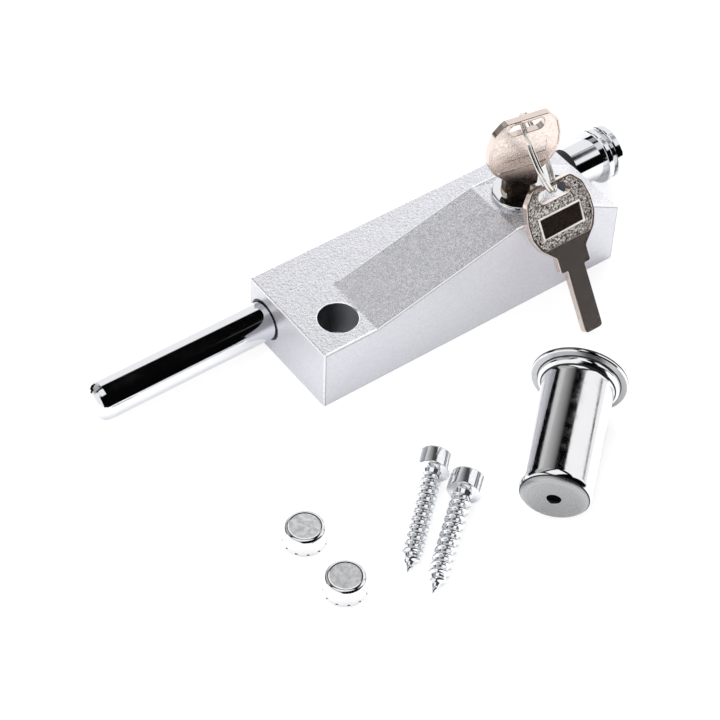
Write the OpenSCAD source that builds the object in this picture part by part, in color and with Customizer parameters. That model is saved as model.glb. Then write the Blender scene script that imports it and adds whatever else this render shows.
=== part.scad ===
// Lockable sliding door bolt with its keys, receiver sleeve, screws and caps.
// Millimetres. X runs along the bolt towards the pull knob, Y across the body, Z up.
// The origin is on the mounting face, midway between the two mounting holes.

/* [Body] */
// Length of the body along the bolt
body_l = 110; // [108:1:125]
// Width of the body across the bolt
body_w = 38.5; // [38:0.5:42]
// Height of the low slab that the bolt runs through
slab_h = 22; // [21:0.5:24]
// Width of the raised wedge along the near side
wedge_w = 22.5; // [22:0.5:23]
// Distance from the front face to the foot of the ramp
ramp_start = 19; // [18.5:0.5:22]
// Length of the raised crest that holds the lock
crest_l = 19; // [18:0.5:24]
// Length of the slope behind the crest
rear_slope_l = 22; // [18:0.5:22]
// Thickness of the casting's side walls
wall_t = 2.5; // [2.2:0.1:3]
// Thickness of the casting's roof over its pocket
roof_t = 3.5; // [3:0.1:4]
// Radius of the fillet at the foot of the ramp
ramp_fillet = 6; // [3:1:10]

/* [Mounting] */
// Distance from each end face to its mounting hole
hole_edge_x = 12; // [11:0.5:13]
// Distance from the near face to both mounting holes
hole_edge_y = 10.4; // [9:0.2:11]
// Diameter of the mounting screws' holes
hole_d = 6.8; // [6.6:0.1:7.4]
// Diameter of the recesses for the screw heads and caps
recess_d = 12.2; // [12:0.1:13]
// Height of the ledge that the screw heads clamp
ledge_h = 9.5; // [8:0.5:11]

/* [Bolt] */
// Diameter of the bolt rod
rod_d = 12; // [11:0.5:12.5]
// Distance from the far face to the bolt's axis
rod_side = 8; // [7.6:0.1:8.4]
// Height of the bolt's axis above the mounting face
rod_z = 11; // [11:0.25:11.5]
// Length of rod that stands out of the front face when thrown
throw_l = 60; // [57:1:70]
// Travel of the bolt from thrown to withdrawn
stroke = 55; // [50:1:56]
// Corner radius of the rod's rounded nose
nose_r = 3.6; // [2:0.2:5]
// Diameter of the locking holes in the side of the rod
lock_hole_d = 5.5; // [5.3:0.1:6]
// Depth of the locking holes
lock_hole_depth = 4.4; // [4:0.1:5]
// Diameter of the stop pin
stop_pin_d = 3; // [2.5:0.1:3.2]
// Length of the bushes at the two ends of the bore
bush_l = 14; // [11:0.5:14]
// Wall of the bushes
bush_t = 0.7; // [0.6:0.1:0.8]

/* [Pull knob] */
// Diameter of the knob's shank
knob_d = 14; // [13:0.5:15]
// Diameter of the knob's flange
flange_d = 18; // [16:0.5:20]
// Diameter of the knob's end disc
disc_d = 17.4; // [16:0.5:20]
// Diameter of the groove between flange and disc
groove_d = 12.6; // [10:0.5:13]
// Length of the rubber buffer in front of the knob
buffer_l = 5; // [3:0.5:6]
// Length of the knob's shank
shank_l = 10.7; // [8:0.5:13]
// Thickness of the knob's flange
flange_t = 2.2; // [1.6:0.2:3]
// Width of the groove
groove_w = 1.6; // [1.2:0.2:2.4]
// Thickness of the knob's end disc
disc_t = 2.6; // [2:0.2:3.4]

/* [Lock] */
// Distance from the rear face to the lock's axis
lock_back = 31; // [30.5:0.5:32]
// Diameter of the lock barrel
barrel_d = 14; // [13:0.5:14]
// Diameter of the lock plug
plug_d = 9; // [8.8:0.1:9.4]
// Diameter of the chrome bezel
bezel_d = 16.2; // [15.6:0.2:17.4]
// Height of the bezel above the crest
bezel_h = 1.5; // [1.2:0.1:1.5]
// Angle of the keyway to the bolt when unlocked, in degrees
key_angle = -10; // [-12:1:-8]
// Turn of the key from unlocked to locked, in degrees
key_turn = 84; // [76:1:84]
// Distance of the cam's pin from the lock's axis
cam_throw = 3; // [2.8:0.1:3.2]
// Diameter of the cam's pin
cam_pin_d = 3; // [2.6:0.1:3]
// Number of wafers in the plug
wafer_count = 5; // [4:1:6]

/* [Keys] */
// Length of a key's bow and neck
bow_l = 27.4; // [26.4:0.2:28]
// Width of a key's bow
bow_w = 23.8; // [22.5:0.1:24]
// Thickness of a key
key_t = 2.4; // [2.2:0.1:2.4]
// Width of a key's blade
blade_w = 6.6; // [6.2:0.1:6.6]
// Length of a key's blade from the shoulder
blade_l = 20.6; // [19:0.2:20.6]
// Mean diameter of the key ring
ring_d = 24.9; // [24.8:0.05:25]
// Diameter of the key ring's wire
ring_wire_d = 1; // [0.8:0.1:1]
// Lean of the spare key from the horizontal, in degrees
spare_lean = 57; // [56.5:0.1:57.5]

/* [Receiver sleeve] */
// Outside diameter of the sleeve
sleeve_d = 21.2; // [20:0.2:24]
// Length of the sleeve
sleeve_l = 43.5; // [38:0.5:50]
// Wall of the sleeve
sleeve_t = 0.9; // [0.7:0.1:1.2]
// Diameter of the sleeve's flange
sleeve_flange_d = 28.6; // [26.5:0.2:32]
// Diameter of the hole in the sleeve's closed end
sleeve_hole_d = 4.2; // [3:0.2:6]

/* [Screws and caps] */
// Outside diameter of the mounting screws' thread
screw_d = 6.3; // [5.8:0.1:6.3]
// Length of the mounting screws under the head
screw_l = 35; // [30:1:40]
// Diameter of the mounting screws' heads
head_d = 10; // [9.4:0.1:10.6]
// Height of the mounting screws' heads
head_h = 6; // [5:0.2:6.4]
// Pitch of the mounting screws' thread
screw_pitch = 2.7; // [2.4:0.1:3.2]
// Outside diameter of the caps below their rim
cap_d = 12; // [11.6:0.1:12.4]
// Height of the caps
cap_h = 6; // [5.4:0.2:6.6]
// Thickness of the caps' metal
cap_t = 0.6; // [0.5:0.1:0.8]

/* [Hidden] */

// Clearances, each measured on the radius or on one side
eps = 0.01;
run_gap = 0.06;
seat_gap = 0.03;
slide_gap = 0.15;
free_gap = 0.3;
fn_round = 96;
fn_small = 48;

// Stack of the lock, from the bolt's axis up: slide, clip, cam and plug carry the crest
slide_t = 4.2;
clip_t = 0.6;
cam_t = 1.5;
cam_gap = 0.4;
tip_gap = 0.7;
plug_floor_t = 0.7;
shoulder_gap = 1.6;
plug_l = blade_l - shoulder_gap - bezel_h + tip_gap + plug_floor_t;
plug_low = rod_z + slide_t / 2 + cam_gap + clip_t + cam_t;
cam_low = plug_low - cam_t;
crest_h = plug_low + plug_l;

// Casting and its pocket
crest_end = body_l - rear_slope_l;
ramp_end = crest_end - crest_l;
wedge_rise = crest_h - slab_h;
ramp_rate = wedge_rise / (ramp_end - ramp_start);
rod_y = body_w - rod_side;
tunnel_r = rod_d / 2 + 0.5;
bush_r = rod_d / 2 + run_gap + bush_t;
tunnel_wall = 2.5;
mount_x = [hole_edge_x, body_l - hole_edge_x];
pocket_x0 = mount_x[0] + recess_d / 2 + 6;
pocket_x1 = mount_x[1] - recess_d / 2 - 2.3;
pocket_y1 = rod_y - tunnel_r - tunnel_wall;
pocket_top = crest_h - roof_t;
pocket_bend = ramp_end - 0.5;
lock_x = body_l - lock_back;
lock_y = (wall_t + pocket_y1) / 2;

// Base plate and its screws
plate_t = 1.5;
plate_rim = 2;
plate_x0 = pocket_x0 - 4;
plate_x1 = body_l - plate_rim - 1;
plate_screw_d = 2.6;
plate_screw_l = 6.5;
plate_head_d = 4.8;
plate_head_h = 1.2;
plate_points = [[plate_x0 + 2.2, 5.8], [plate_x0 + 2.2, pocket_y1 - 1.5],
    [mount_x[1] - 5.5, pocket_y1 - 1.7], [mount_x[1] + 6.2, 4.6]];

// Bolt, its stop and its locking holes
rod_front = -throw_l;
buffer_x = body_l + free_gap;
knob_x = buffer_x + buffer_l;
spigot_d = 8;
spigot_l = 6.7;
rod_rear = knob_x;
grease_x = -0.3;
grease_l = 3;
grease_depth = 0.25;
flange_x = knob_x + shank_l;
groove_x = flange_x + flange_t;
disc_x = groove_x + groove_w;
knob_end = disc_x + disc_t;
stop_pin_low = plate_t + free_gap;
stop_pin_x = body_l - bush_l - stroke - 3;
stop_slot_x0 = stop_pin_x - stop_pin_d / 2 - free_gap;
stop_slot_x1 = stop_pin_x + stroke + stop_pin_d / 2 + free_gap;
knob_screw_d = 4;
knob_screw_head_d = 7.6;
knob_screw_head_h = 1.9;
knob_screw_l = 21;

// Friction pad, its spring and its screw
pad_x = lock_x - 18;
pad_d = 5;
pad_l = 3.6;
pad_spring_l = 7.4;
pad_screw_l = 4.5;
pad_spring_wire = 0.7;
pad_spring_turns = 5;
pad_y1 = rod_y - rod_d / 2 - 0.08;
pad_y0 = pad_y1 - pad_l;
spring_y0 = pad_y0 - pad_spring_l;
pad_screw_y0 = spring_y0 - pad_screw_l;
pad_boss_w = 9;

// Lock barrel, plug and cam
barrel_flange_d = barrel_d + 1.2;
barrel_flange_t = 0.6;
barrel_low = plug_low + 1.4;
bezel_hole_d = 10.6;
bezel_lip_t = 0.5;
plug_top = crest_h + bezel_h - 0.8;
plug_head_d = plug_d + 1;
plug_head_t = 1;
nut_t = 4;
nut_gap = 0.8;
nut_d = pocket_y1 - wall_t - 2 * nut_gap;
washer_t = 0.5;
tail_w = 4;
cam_d = 10.8;
tail_low = cam_low - clip_t;
cam_rest = 180 + key_turn / 2;
keyway_w = key_t + 0.3;
keyway_l = blade_w + 0.3;
keyway_low = plug_low + plug_floor_t;
wafer_t = 0.7;
wafer_w = 5.4;

// Locking slide
slide_travel = 2 * cam_throw * sin(key_turn / 2);
slide_y1 = pocket_y1 - slide_travel - 0.5;
slide_y0 = lock_y - cam_throw - cam_pin_d / 2 - 1.6;
slide_x0 = -cam_throw - cam_pin_d / 2 - 1.8;
slide_x1 = 3.6;
slide_nose_d = 5;
slide_tail_d = 4;
nose_tip_y = rod_y - rod_d / 2 - 0.8;
boss_y1 = slide_y0 - 0.5;
tail_tip_y = wall_t + 0.8;
boss_w = 8;

// Keys and ring. The bow's outline runs down from its top edge, half of it as [half width, depth].
key_l = bow_l + blade_l;
key_top = crest_h + bezel_h + shoulder_gap + bow_l;
bow_half = [[7.2, 0], [10.6, 3.6], [bow_w / 2, 9], [bow_w / 2, 14], [10.1, 18], [5.6, 22.4]];
bow_round = [2.2, 4, 6, 6, 4, 1.2];
shoulder_half = 5.6;
slot_half = 5.9;
slot_top = 1.3;
slot_low = 5.3;
panel_l = 14.7;
panel_w = 5.8;
panel_at = 12.2;
panel_depth = 0.3;
ring_tilt = 64.6;
ring_turn = -29.8;
ring_pitch = 0.9 * ring_wire_d;

// The ring hangs through the lock key's slot, and the spare key hangs where the ring crosses its plane
ring_up = [-0.36612, 0.22376, 0.90327];
ring_at = [lock_x - 0.8863, lock_y + 0.1563, key_top - slot_low + 2.83] - ring_d / 2 * ring_up;
ring_x = [cos(ring_tilt) * cos(ring_turn), cos(ring_tilt) * sin(ring_turn), -sin(ring_tilt)];
ring_y = [-sin(ring_turn), cos(ring_turn), 0];
spare_up = [0, -sin(spare_lean), cos(spare_lean)];
spare_along = [0, cos(spare_lean), sin(spare_lean)];
spare_mid = [0, 0, crest_h] + (key_t / 2 + free_gap) * spare_up;
cross_a = ring_x * spare_up * ring_d / 2;
cross_b = ring_y * spare_up * ring_d / 2;
cross_c = (spare_mid - ring_at) * spare_up;
cross_t = atan2(cross_b, cross_a) + acos(cross_c / norm([cross_a, cross_b]));
cross_u = atan2(cross_b, cross_a) - acos(cross_c / norm([cross_a, cross_b]));
cross_1 = ring_at + ring_d / 2 * (cos(cross_t) * ring_x + sin(cross_t) * ring_y);
cross_2 = ring_at + ring_d / 2 * (cos(cross_u) * ring_x + sin(cross_u) * ring_y);
cross_at = cross_1[2] < cross_2[2] ? cross_1 : cross_2;
spare_x = cross_at[0] - 1;
spare_top = (cross_at - spare_mid) * spare_along + slot_top + 1.3;

// Loose pieces, where they lie on the mounting plane
sleeve_at = [27.5, -71.4];
sleeve_turn = 41.2;
sleeve_end_r = 3;
sleeve_bead_d = sleeve_d + 2.9;
sleeve_bead_l = 2;
sleeve_flare_l = 2.4;
sleeve_lean = asin((sleeve_flange_d - sleeve_d) / 2 / (sleeve_l - sleeve_end_r));
screw_at = [[13.1, -36.8], [15.9, -48.2]];
screw_turn = [-138.2, -141.3];
shoulder_h = 2;
screw_core_d = screw_d - 1.9;
screw_lean = asin((head_d - screw_d) / 2 / (screw_l - 7));
socket_w = 5;
socket_depth = 3;
cap_at = [[-32.6, -36.8], [-33.4, -57.2]];
cap_round = 1.1;
cap_flat_d = cap_d - 2.4;
cap_lip_d = cap_d + 0.7;
cap_lip_h = 1.4;
cap_notches = 12;

// Moves from the body's near front lower corner to the origin between the mounting holes
module from_corner() {
    translate([-body_l / 2, -hole_edge_y, 0]) children();
}

// Lays a Z axis along the bolt's axis, with zero at the front face
module on_bolt_axis() {
    from_corner() translate([0, rod_y, rod_z]) rotate([0, 90, 0]) children();
}

// Stands a Z axis on the lock's axis, turned with the keyway
module on_lock_axis(turned = false) {
    from_corner() translate([lock_x, lock_y, 0]) rotate([0, 0, turned ? key_angle : 0]) children();
}

// A tube between two heights
module tube(r_out, r_in, h, fn = fn_round) {
    difference() {
        cylinder(r = r_out, h = h, $fn = fn);
        translate([0, 0, -1]) cylinder(r = r_in, h = h + 2, $fn = fn);
    }
}

// A slot outline with round ends along X
module slot_2d(half_l, half_w, fn = fn_small) {
    square([2 * (half_l - half_w), 2 * half_w], center = true);
    for (side = [-1, 1]) translate([side * (half_l - half_w), 0]) circle(r = half_w, $fn = fn);
}

// Points of a quarter arc from angle a0 to a1 round a centre
function arc(c, r, a0, a1, n = 6) = [for (i = [0:n]) let (a = a0 + (a1 - a0) * i / n)
    [c[0] + r * cos(a), c[1] + r * sin(a)]];

// One rounded corner of an outline: the two tangent points joined by an arc of n steps
function corner(p, q, s, r, n) =
    let (a = (p - q) / norm(p - q), b = (s - q) / norm(s - q), half = acos(a * b) / 2,
         m = (a + b) / norm(a + b), c = q + m * (r / sin(half)),
         from = q + a * (r / tan(half)) - c, to = q + b * (r / tan(half)) - c,
         a0 = atan2(from[1], from[0]), turn = atan2(to[1], to[0]) - a0,
         sweep = turn > 180 ? turn - 360 : (turn < -180 ? turn + 360 : turn))
    [for (i = [0:n]) c + r * [cos(a0 + sweep * i / n), sin(a0 + sweep * i / n)]];

// An outline whose corners are rounded, each by its own radius
function rounded(points, radii, n = 4) = [for (i = [0:len(points) - 1])
    each corner(points[(i + len(points) - 1) % len(points)], points[i],
        points[(i + 1) % len(points)], radii[i], n)];

// Side outline of the raised wedge, with the fillet at the foot of its ramp
function wedge_outline() =
    let (slope = atan(ramp_rate), reach = ramp_fillet * tan(slope / 2),
         foot = arc([ramp_start - reach, slab_h + ramp_fillet], ramp_fillet, -90, -90 + slope))
    concat([[ramp_start - reach - 4, slab_h - 1]], [[ramp_start - reach - 4, slab_h]], foot,
        [[ramp_end, crest_h], [crest_end, crest_h], [body_l, slab_h], [body_l, slab_h - 1]]);

// Side outline of the pocket under the wedge
function pocket_outline() = [[pocket_x0, -1], [pocket_x1, -1], [pocket_x1, pocket_top],
    [pocket_bend, pocket_top], [pocket_x0, pocket_top - (pocket_bend - pocket_x0) * ramp_rate]];

// Extrudes an X-Z outline from one Y to another
module along_y(y0, y1) {
    translate([0, y1, 0]) rotate([90, 0, 0]) linear_extrude(y1 - y0) children();
}

// Die-cast body: slab, wedge, bosses, bores and recesses
module body_casting() {
    color("silver") from_corner() difference() {
        union() {
            difference() {
                union() {
                    cube([body_l, body_w, slab_h]);
                    along_y(0, wedge_w) polygon(wedge_outline());
                }
                along_y(wall_t, pocket_y1) polygon(pocket_outline());
            }
            // boss that guides the locking slide's tail
            translate([lock_x - boss_w / 2, wall_t - eps, plate_t])
                cube([boss_w, boss_y1 - wall_t + eps, rod_z + 5 - plate_t]);
            // boss that holds the friction pad
            translate([pad_x - pad_boss_w / 2, pad_screw_y0, plate_t])
                cube([pad_boss_w, pocket_y1 + eps - pad_screw_y0, rod_z + 5 - plate_t]);
        }
        // bore for the bolt and seats for its bushes
        translate([-1, rod_y, rod_z]) rotate([0, 90, 0])
            cylinder(r = tunnel_r, h = body_l + 2, $fn = fn_round);
        for (x = [-1, body_l - bush_l]) translate([x, rod_y, rod_z]) rotate([0, 90, 0])
            cylinder(r = bush_r + seat_gap, h = bush_l + 1, $fn = fn_round);
        // slot for the stop pin
        translate([0, rod_y, -1]) linear_extrude(rod_z)
            translate([(stop_slot_x0 + stop_slot_x1) / 2, 0])
                slot_2d((stop_slot_x1 - stop_slot_x0) / 2, stop_pin_d / 2 + free_gap);
        // mounting holes
        for (x = mount_x) translate([x, hole_edge_y, 0]) {
            translate([0, 0, -1]) cylinder(d = hole_d, h = ledge_h + 2, $fn = fn_small);
            translate([0, 0, ledge_h]) cylinder(d = recess_d, h = crest_h, $fn = fn_round);
        }
        // hole for the lock barrel
        translate([lock_x, lock_y, pocket_top - 1])
            cylinder(r = barrel_d / 2 + seat_gap, h = roof_t + 2, $fn = fn_round);
        // bores for the locking slide's nose and tail
        translate([lock_x, pocket_y1 - 1, rod_z]) rotate([-90, 0, 0])
            cylinder(r = slide_nose_d / 2 + run_gap, h = 5, $fn = fn_small);
        translate([lock_x, wall_t + 0.5, rod_z]) rotate([-90, 0, 0])
            cylinder(r = slide_tail_d / 2 + run_gap, h = boss_y1 - wall_t + 1, $fn = fn_small);
        // bore for the friction pad, its spring and its screw
        translate([pad_x, pad_screw_y0 - 1, rod_z]) rotate([-90, 0, 0])
            cylinder(r = pad_d / 2 + run_gap, h = rod_y - pad_screw_y0, $fn = fn_small);
        // seat for the base plate, and pilot holes for its screws
        translate([plate_x0 - seat_gap, plate_rim - seat_gap, -1])
            cube([plate_x1 - plate_x0 + 2 * seat_gap, body_w - 2 * plate_rim + 2 * seat_gap,
                plate_t + 1 + seat_gap]);
        for (p = plate_points) translate([p[0], p[1], -1])
            cylinder(r = plate_screw_d / 2 + seat_gap, h = plate_screw_l + 1.5, $fn = fn_small);
    }
}

// Steel plate that closes the pocket from below
module base_plate() {
    color("darkgray") from_corner() difference() {
        translate([plate_x0, plate_rim, 0])
            cube([plate_x1 - plate_x0, body_w - 2 * plate_rim, plate_t]);
        translate([mount_x[1], hole_edge_y, -1]) cylinder(d = hole_d, h = plate_t + 2, $fn = fn_small);
        for (p = plate_points) translate([p[0], p[1], -1]) {
            cylinder(r = plate_screw_d / 2 + seat_gap, h = plate_t + 2, $fn = fn_small);
            cylinder(r1 = plate_head_d / 2 + seat_gap + 1, r2 = plate_screw_d / 2 + seat_gap,
                h = 1 + plate_head_h + 0.1, $fn = fn_small);
        }
    }
}

// Four countersunk screws under the base plate
module plate_screws() {
    color("gray") from_corner() for (p = plate_points) translate([p[0], p[1], 0]) difference() {
        union() {
            translate([0, 0, 0.1]) cylinder(r1 = plate_head_d / 2 - 0.1, r2 = plate_screw_d / 2,
                h = plate_head_h - 0.1, $fn = fn_small);
            translate([0, 0, 0.5]) cylinder(d = plate_screw_d, h = plate_screw_l - 0.6, $fn = fn_small);
        }
        for (a = [0, 90]) rotate([0, 0, a]) translate([-1.3, -0.3, -1]) cube([2.6, 0.6, 1.7]);
    }
}

// One plastic liner for an end of the bolt's bore
module bush() {
    tube(bush_r, rod_d / 2 + run_gap, bush_l);
}

module front_bush() {
    color("dimgray") on_bolt_axis() bush();
}

module rear_bush() {
    color("dimgray") on_bolt_axis() translate([0, 0, body_l - bush_l]) bush();
}

// Chromed rod: rounded nose, grease groove behind the front face, locking holes, stop pin hole, spigot
module bolt_rod() {
    r = rod_d / 2;
    color("lightgray") difference() {
        on_bolt_axis() difference() {
            union() {
                rotate_extrude($fn = fn_round) polygon(concat([[0, rod_front]],
                    arc([r - nose_r, rod_front + nose_r], nose_r, -90, 0, 8),
                    [[r, grease_x], [r - grease_depth, grease_x], [r - grease_depth, grease_x + grease_l],
                     [r, grease_x + grease_l], [r, rod_rear], [0, rod_rear]]));
                translate([0, 0, rod_rear - 1]) cylinder(d = spigot_d, h = spigot_l + 1, $fn = fn_round);
            }
            translate([0, 0, knob_end - knob_screw_l - 1])
                cylinder(r = knob_screw_d / 2 + seat_gap, h = knob_screw_l, $fn = fn_small);
        }
        from_corner() for (x = [lock_x, lock_x - stroke])
            translate([x, rod_y - r - 1, rod_z]) rotate([-90, 0, 0])
                cylinder(d = lock_hole_d, h = lock_hole_depth + 1, $fn = fn_small);
        from_corner() translate([stop_pin_x, rod_y, 0])
            cylinder(r = stop_pin_d / 2 + seat_gap, h = rod_z + 2, $fn = fn_small);
    }
}

// Pin under the rod that runs in the casting's slot
module stop_pin() {
    color("gray") from_corner() translate([stop_pin_x, rod_y, stop_pin_low])
        cylinder(d = stop_pin_d, h = rod_z + 1.8 - stop_pin_low, $fn = fn_small);
}

// Rubber buffer between the body and the knob
module knob_buffer() {
    color("black") on_bolt_axis() translate([0, 0, buffer_x])
        tube(knob_d / 2 - 0.1, rod_d / 2 + seat_gap, buffer_l - seat_gap);
}

// Spool-shaped chrome knob on the rod's spigot
module pull_knob() {
    round_r = 0.5;
    profile = concat([[0, knob_x], [knob_d / 2, knob_x], [knob_d / 2, flange_x]],
        arc([flange_d / 2 - round_r, flange_x + round_r], round_r, -90, 0, 4),
        arc([flange_d / 2 - round_r, groove_x - round_r], round_r, 0, 90, 4),
        [[groove_d / 2, groove_x], [groove_d / 2, disc_x]],
        arc([disc_d / 2 - round_r, disc_x + round_r], round_r, -90, 0, 4),
        arc([disc_d / 2 - round_r, knob_end - round_r], round_r, 0, 90, 4), [[0, knob_end]]);
    color("lightgray") on_bolt_axis() difference() {
        rotate_extrude($fn = fn_round) polygon(profile);
        translate([0, 0, knob_x - 1])
            cylinder(r = spigot_d / 2 + seat_gap, h = spigot_l + 1 + seat_gap, $fn = fn_round);
        translate([0, 0, knob_x])
            cylinder(r = knob_screw_d / 2 + seat_gap, h = knob_end - knob_x + 1, $fn = fn_small);
        translate([0, 0, knob_end - knob_screw_head_h - seat_gap])
            cylinder(r1 = knob_screw_d / 2 + seat_gap, r2 = knob_screw_head_d / 2 + seat_gap,
                h = knob_screw_head_h + seat_gap + eps, $fn = fn_small);
    }
}

// Countersunk screw that holds the knob on the rod
module knob_screw() {
    color("gray") on_bolt_axis() difference() {
        union() {
            translate([0, 0, knob_end - knob_screw_head_h])
                cylinder(r1 = knob_screw_d / 2, r2 = knob_screw_head_d / 2 - 0.1,
                    h = knob_screw_head_h - 0.05, $fn = fn_small);
            translate([0, 0, knob_end - knob_screw_l])
                cylinder(d = knob_screw_d, h = knob_screw_l - 0.5, $fn = fn_small);
        }
        translate([0, 0, knob_end - 1.6]) cylinder(d = 2.9, h = 3, $fn = 6);
    }
}

// Lays a Z axis on the friction pad's axis, towards the bolt
module on_pad_axis(y) {
    from_corner() translate([pad_x, y, rod_z]) rotate([-90, 0, 0]) children();
}

// Plastic pad that drags on the rod, hollowed to the rod's own curve
module friction_pad() {
    color("ivory") difference() {
        on_pad_axis(pad_y0) cylinder(d = pad_d, h = pad_l + 1, $fn = fn_small);
        on_bolt_axis() translate([0, 0, pad_x - pad_d])
            cylinder(r = rod_d / 2 + 0.08, h = 2 * pad_d, $fn = fn_round);
    }
}

// Centre line of the pad's spring, as a helix with flat ends
spring_r = (pad_d - pad_spring_wire) / 2 - 0.2;
spring_rise = pad_spring_l - pad_spring_wire - 0.2;
spring_rings = 8 * pad_spring_turns;
spring_path = [for (i = [0:spring_rings]) let (a = 360 * i / 8)
    [spring_r * cos(a), spring_r * sin(a), 0.1 + pad_spring_wire / 2 + spring_rise * i / spring_rings]];
spring_least_gap = spring_rise / pad_spring_turns - pad_spring_wire;
echo(least_gap_in_pad_spring = spring_least_gap);

// A tube of six sides swept along a path round the Z axis
module coil(path, r) {
    sides = 6;
    n = len(path);
    points = [for (i = [0:n - 1]) let (c = path[i], out = [c[0], c[1], 0] / norm([c[0], c[1]]))
        for (k = [0:sides - 1]) let (a = 360 * k / sides) c + r * (cos(a) * out + sin(a) * [0, 0, 1])];
    sides_faces = [for (i = [0:n - 2], k = [0:sides - 1])
        let (a = i * sides + k, b = i * sides + (k + 1) % sides)
        each [[a, b, b + sides], [a, b + sides, a + sides]]];
    ends = concat([for (k = [1:sides - 2]) [0, k + 1, k]],
        [for (k = [1:sides - 2]) let (o = (n - 1) * sides) [o, o + k, o + k + 1]]);
    polyhedron(points, [for (f = concat(sides_faces, ends)) [f[2], f[1], f[0]]]);
}

module pad_spring() {
    color("gray") on_pad_axis(spring_y0) coil(spring_path, pad_spring_wire / 2);
}

// Grub screw that sets the spring's load
module pad_screw() {
    color("dimgray") on_pad_axis(pad_screw_y0) difference() {
        cylinder(d = pad_d, h = pad_screw_l, $fn = fn_small);
        translate([0, 0, -1]) cylinder(d = 2.9, h = 3.2, $fn = 6);
    }
}

// Lock barrel: flanged housing with the plug's bore
module lock_barrel() {
    color("goldenrod") on_lock_axis() difference() {
        union() {
            translate([0, 0, barrel_low]) cylinder(d = barrel_d, h = crest_h - barrel_low, $fn = fn_round);
            translate([0, 0, crest_h]) cylinder(d = barrel_flange_d, h = barrel_flange_t, $fn = fn_round);
        }
        translate([0, 0, barrel_low - 1])
            cylinder(r = plug_d / 2 + run_gap, h = crest_h - barrel_low + 3, $fn = fn_round);
        translate([0, 0, plug_top - plug_head_t - run_gap])
            cylinder(r = plug_head_d / 2 + run_gap, h = 5, $fn = fn_round);
    }
}

// Round nut that clamps the barrel from inside the pocket
module barrel_nut() {
    color("gray") on_lock_axis() translate([0, 0, pocket_top - washer_t - nut_t - 0.1]) difference() {
        tube(nut_d / 2, barrel_d / 2 + seat_gap, nut_t);
        for (a = [0:90:270]) rotate([0, 0, a]) translate([barrel_d / 2 + 0.7, -1, -1]) cube([3, 2, 2.5]);
    }
}

// Washer between the nut and the casting's roof
module lock_washer() {
    color("darkgray") on_lock_axis() translate([0, 0, pocket_top - washer_t - 0.05])
        tube(nut_d / 2, barrel_d / 2 + seat_gap, washer_t);
}

// Chrome bezel over the barrel's flange
module lock_bezel() {
    r = bezel_d / 2;
    color("lightgray") on_lock_axis() rotate_extrude($fn = fn_round) polygon(concat(
        [[barrel_flange_d / 2 + seat_gap, crest_h + 0.05], [r, crest_h + 0.05]],
        arc([r - 0.6, crest_h + bezel_h - 0.6], 0.6, 0, 90, 5),
        arc([bezel_hole_d / 2 + 0.4, crest_h + bezel_h - 0.4], 0.4, 90, 180, 4),
        [[bezel_hole_d / 2, crest_h + barrel_flange_t + 0.03],
         [barrel_flange_d / 2 + seat_gap, crest_h + barrel_flange_t + 0.03]]));
}

// Heights of the wafers' slots in the plug
function wafer_z(i) = keyway_low + 2.4 + i * (crest_h - 4 - keyway_low - 2.4) / (wafer_count - 1);

// Turning plug with its keyway, wafer slots and square tail
module lock_plug() {
    color("goldenrod") on_lock_axis(true) difference() {
        union() {
            translate([0, 0, plug_low]) cylinder(d = plug_d, h = plug_top - plug_low, $fn = fn_round);
            translate([0, 0, plug_top - plug_head_t]) cylinder(d = plug_head_d, h = plug_head_t, $fn = fn_round);
            translate([0, 0, (tail_low + plug_low) / 2 + eps])
                cube([tail_w, tail_w, plug_low - tail_low + 2 * eps], center = true);
        }
        translate([-keyway_l / 2, -keyway_w / 2, keyway_low]) cube([keyway_l, keyway_w, crest_h]);
        for (i = [0:wafer_count - 1]) translate([0, 0, wafer_z(i)])
            cube([plug_d + 2, wafer_w + 0.2, wafer_t + 0.2], center = true);
    }
}

// Thin wafers that ride across the plug, lined up by the key
module wafers() {
    color("khaki") on_lock_axis(true) for (i = [0:wafer_count - 1]) translate([0, 0, wafer_z(i)])
        difference() {
            intersection() {
                cube([plug_d, wafer_w, wafer_t], center = true);
                cylinder(d = plug_d - 0.2, h = wafer_t + 1, center = true, $fn = fn_small);
            }
            cube([keyway_l, keyway_w, wafer_t + 1], center = true);
        }
}

// Cam on the plug's tail, with the pin that drives the locking slide
module cam() {
    color("gray") on_lock_axis() difference() {
        union() {
            translate([0, 0, cam_low]) cylinder(d = cam_d, h = cam_t - 0.05, $fn = fn_small);
            rotate([0, 0, cam_rest]) translate([cam_throw, 0, rod_z - slide_t / 2])
                cylinder(d = cam_pin_d, h = cam_low - rod_z + slide_t / 2 + 0.2, $fn = fn_small);
        }
        rotate([0, 0, key_angle]) cube([tail_w + 0.06, tail_w + 0.06, 4 * cam_low], center = true);
    }
}

// Clip under the cam, on the plug's tail
module cam_clip() {
    color("dimgray") on_lock_axis() translate([0, 0, cam_low - clip_t - 0.03]) difference() {
        cylinder(r = 3.3, h = clip_t, $fn = fn_small);
        rotate([0, 0, key_angle]) cube([tail_w + 0.06, tail_w + 0.06, 4], center = true);
        rotate([0, 0, cam_rest]) translate([cam_throw, 0, -1])
            cylinder(d = cam_pin_d + 0.2, h = 3, $fn = fn_small);
    }
}

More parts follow.
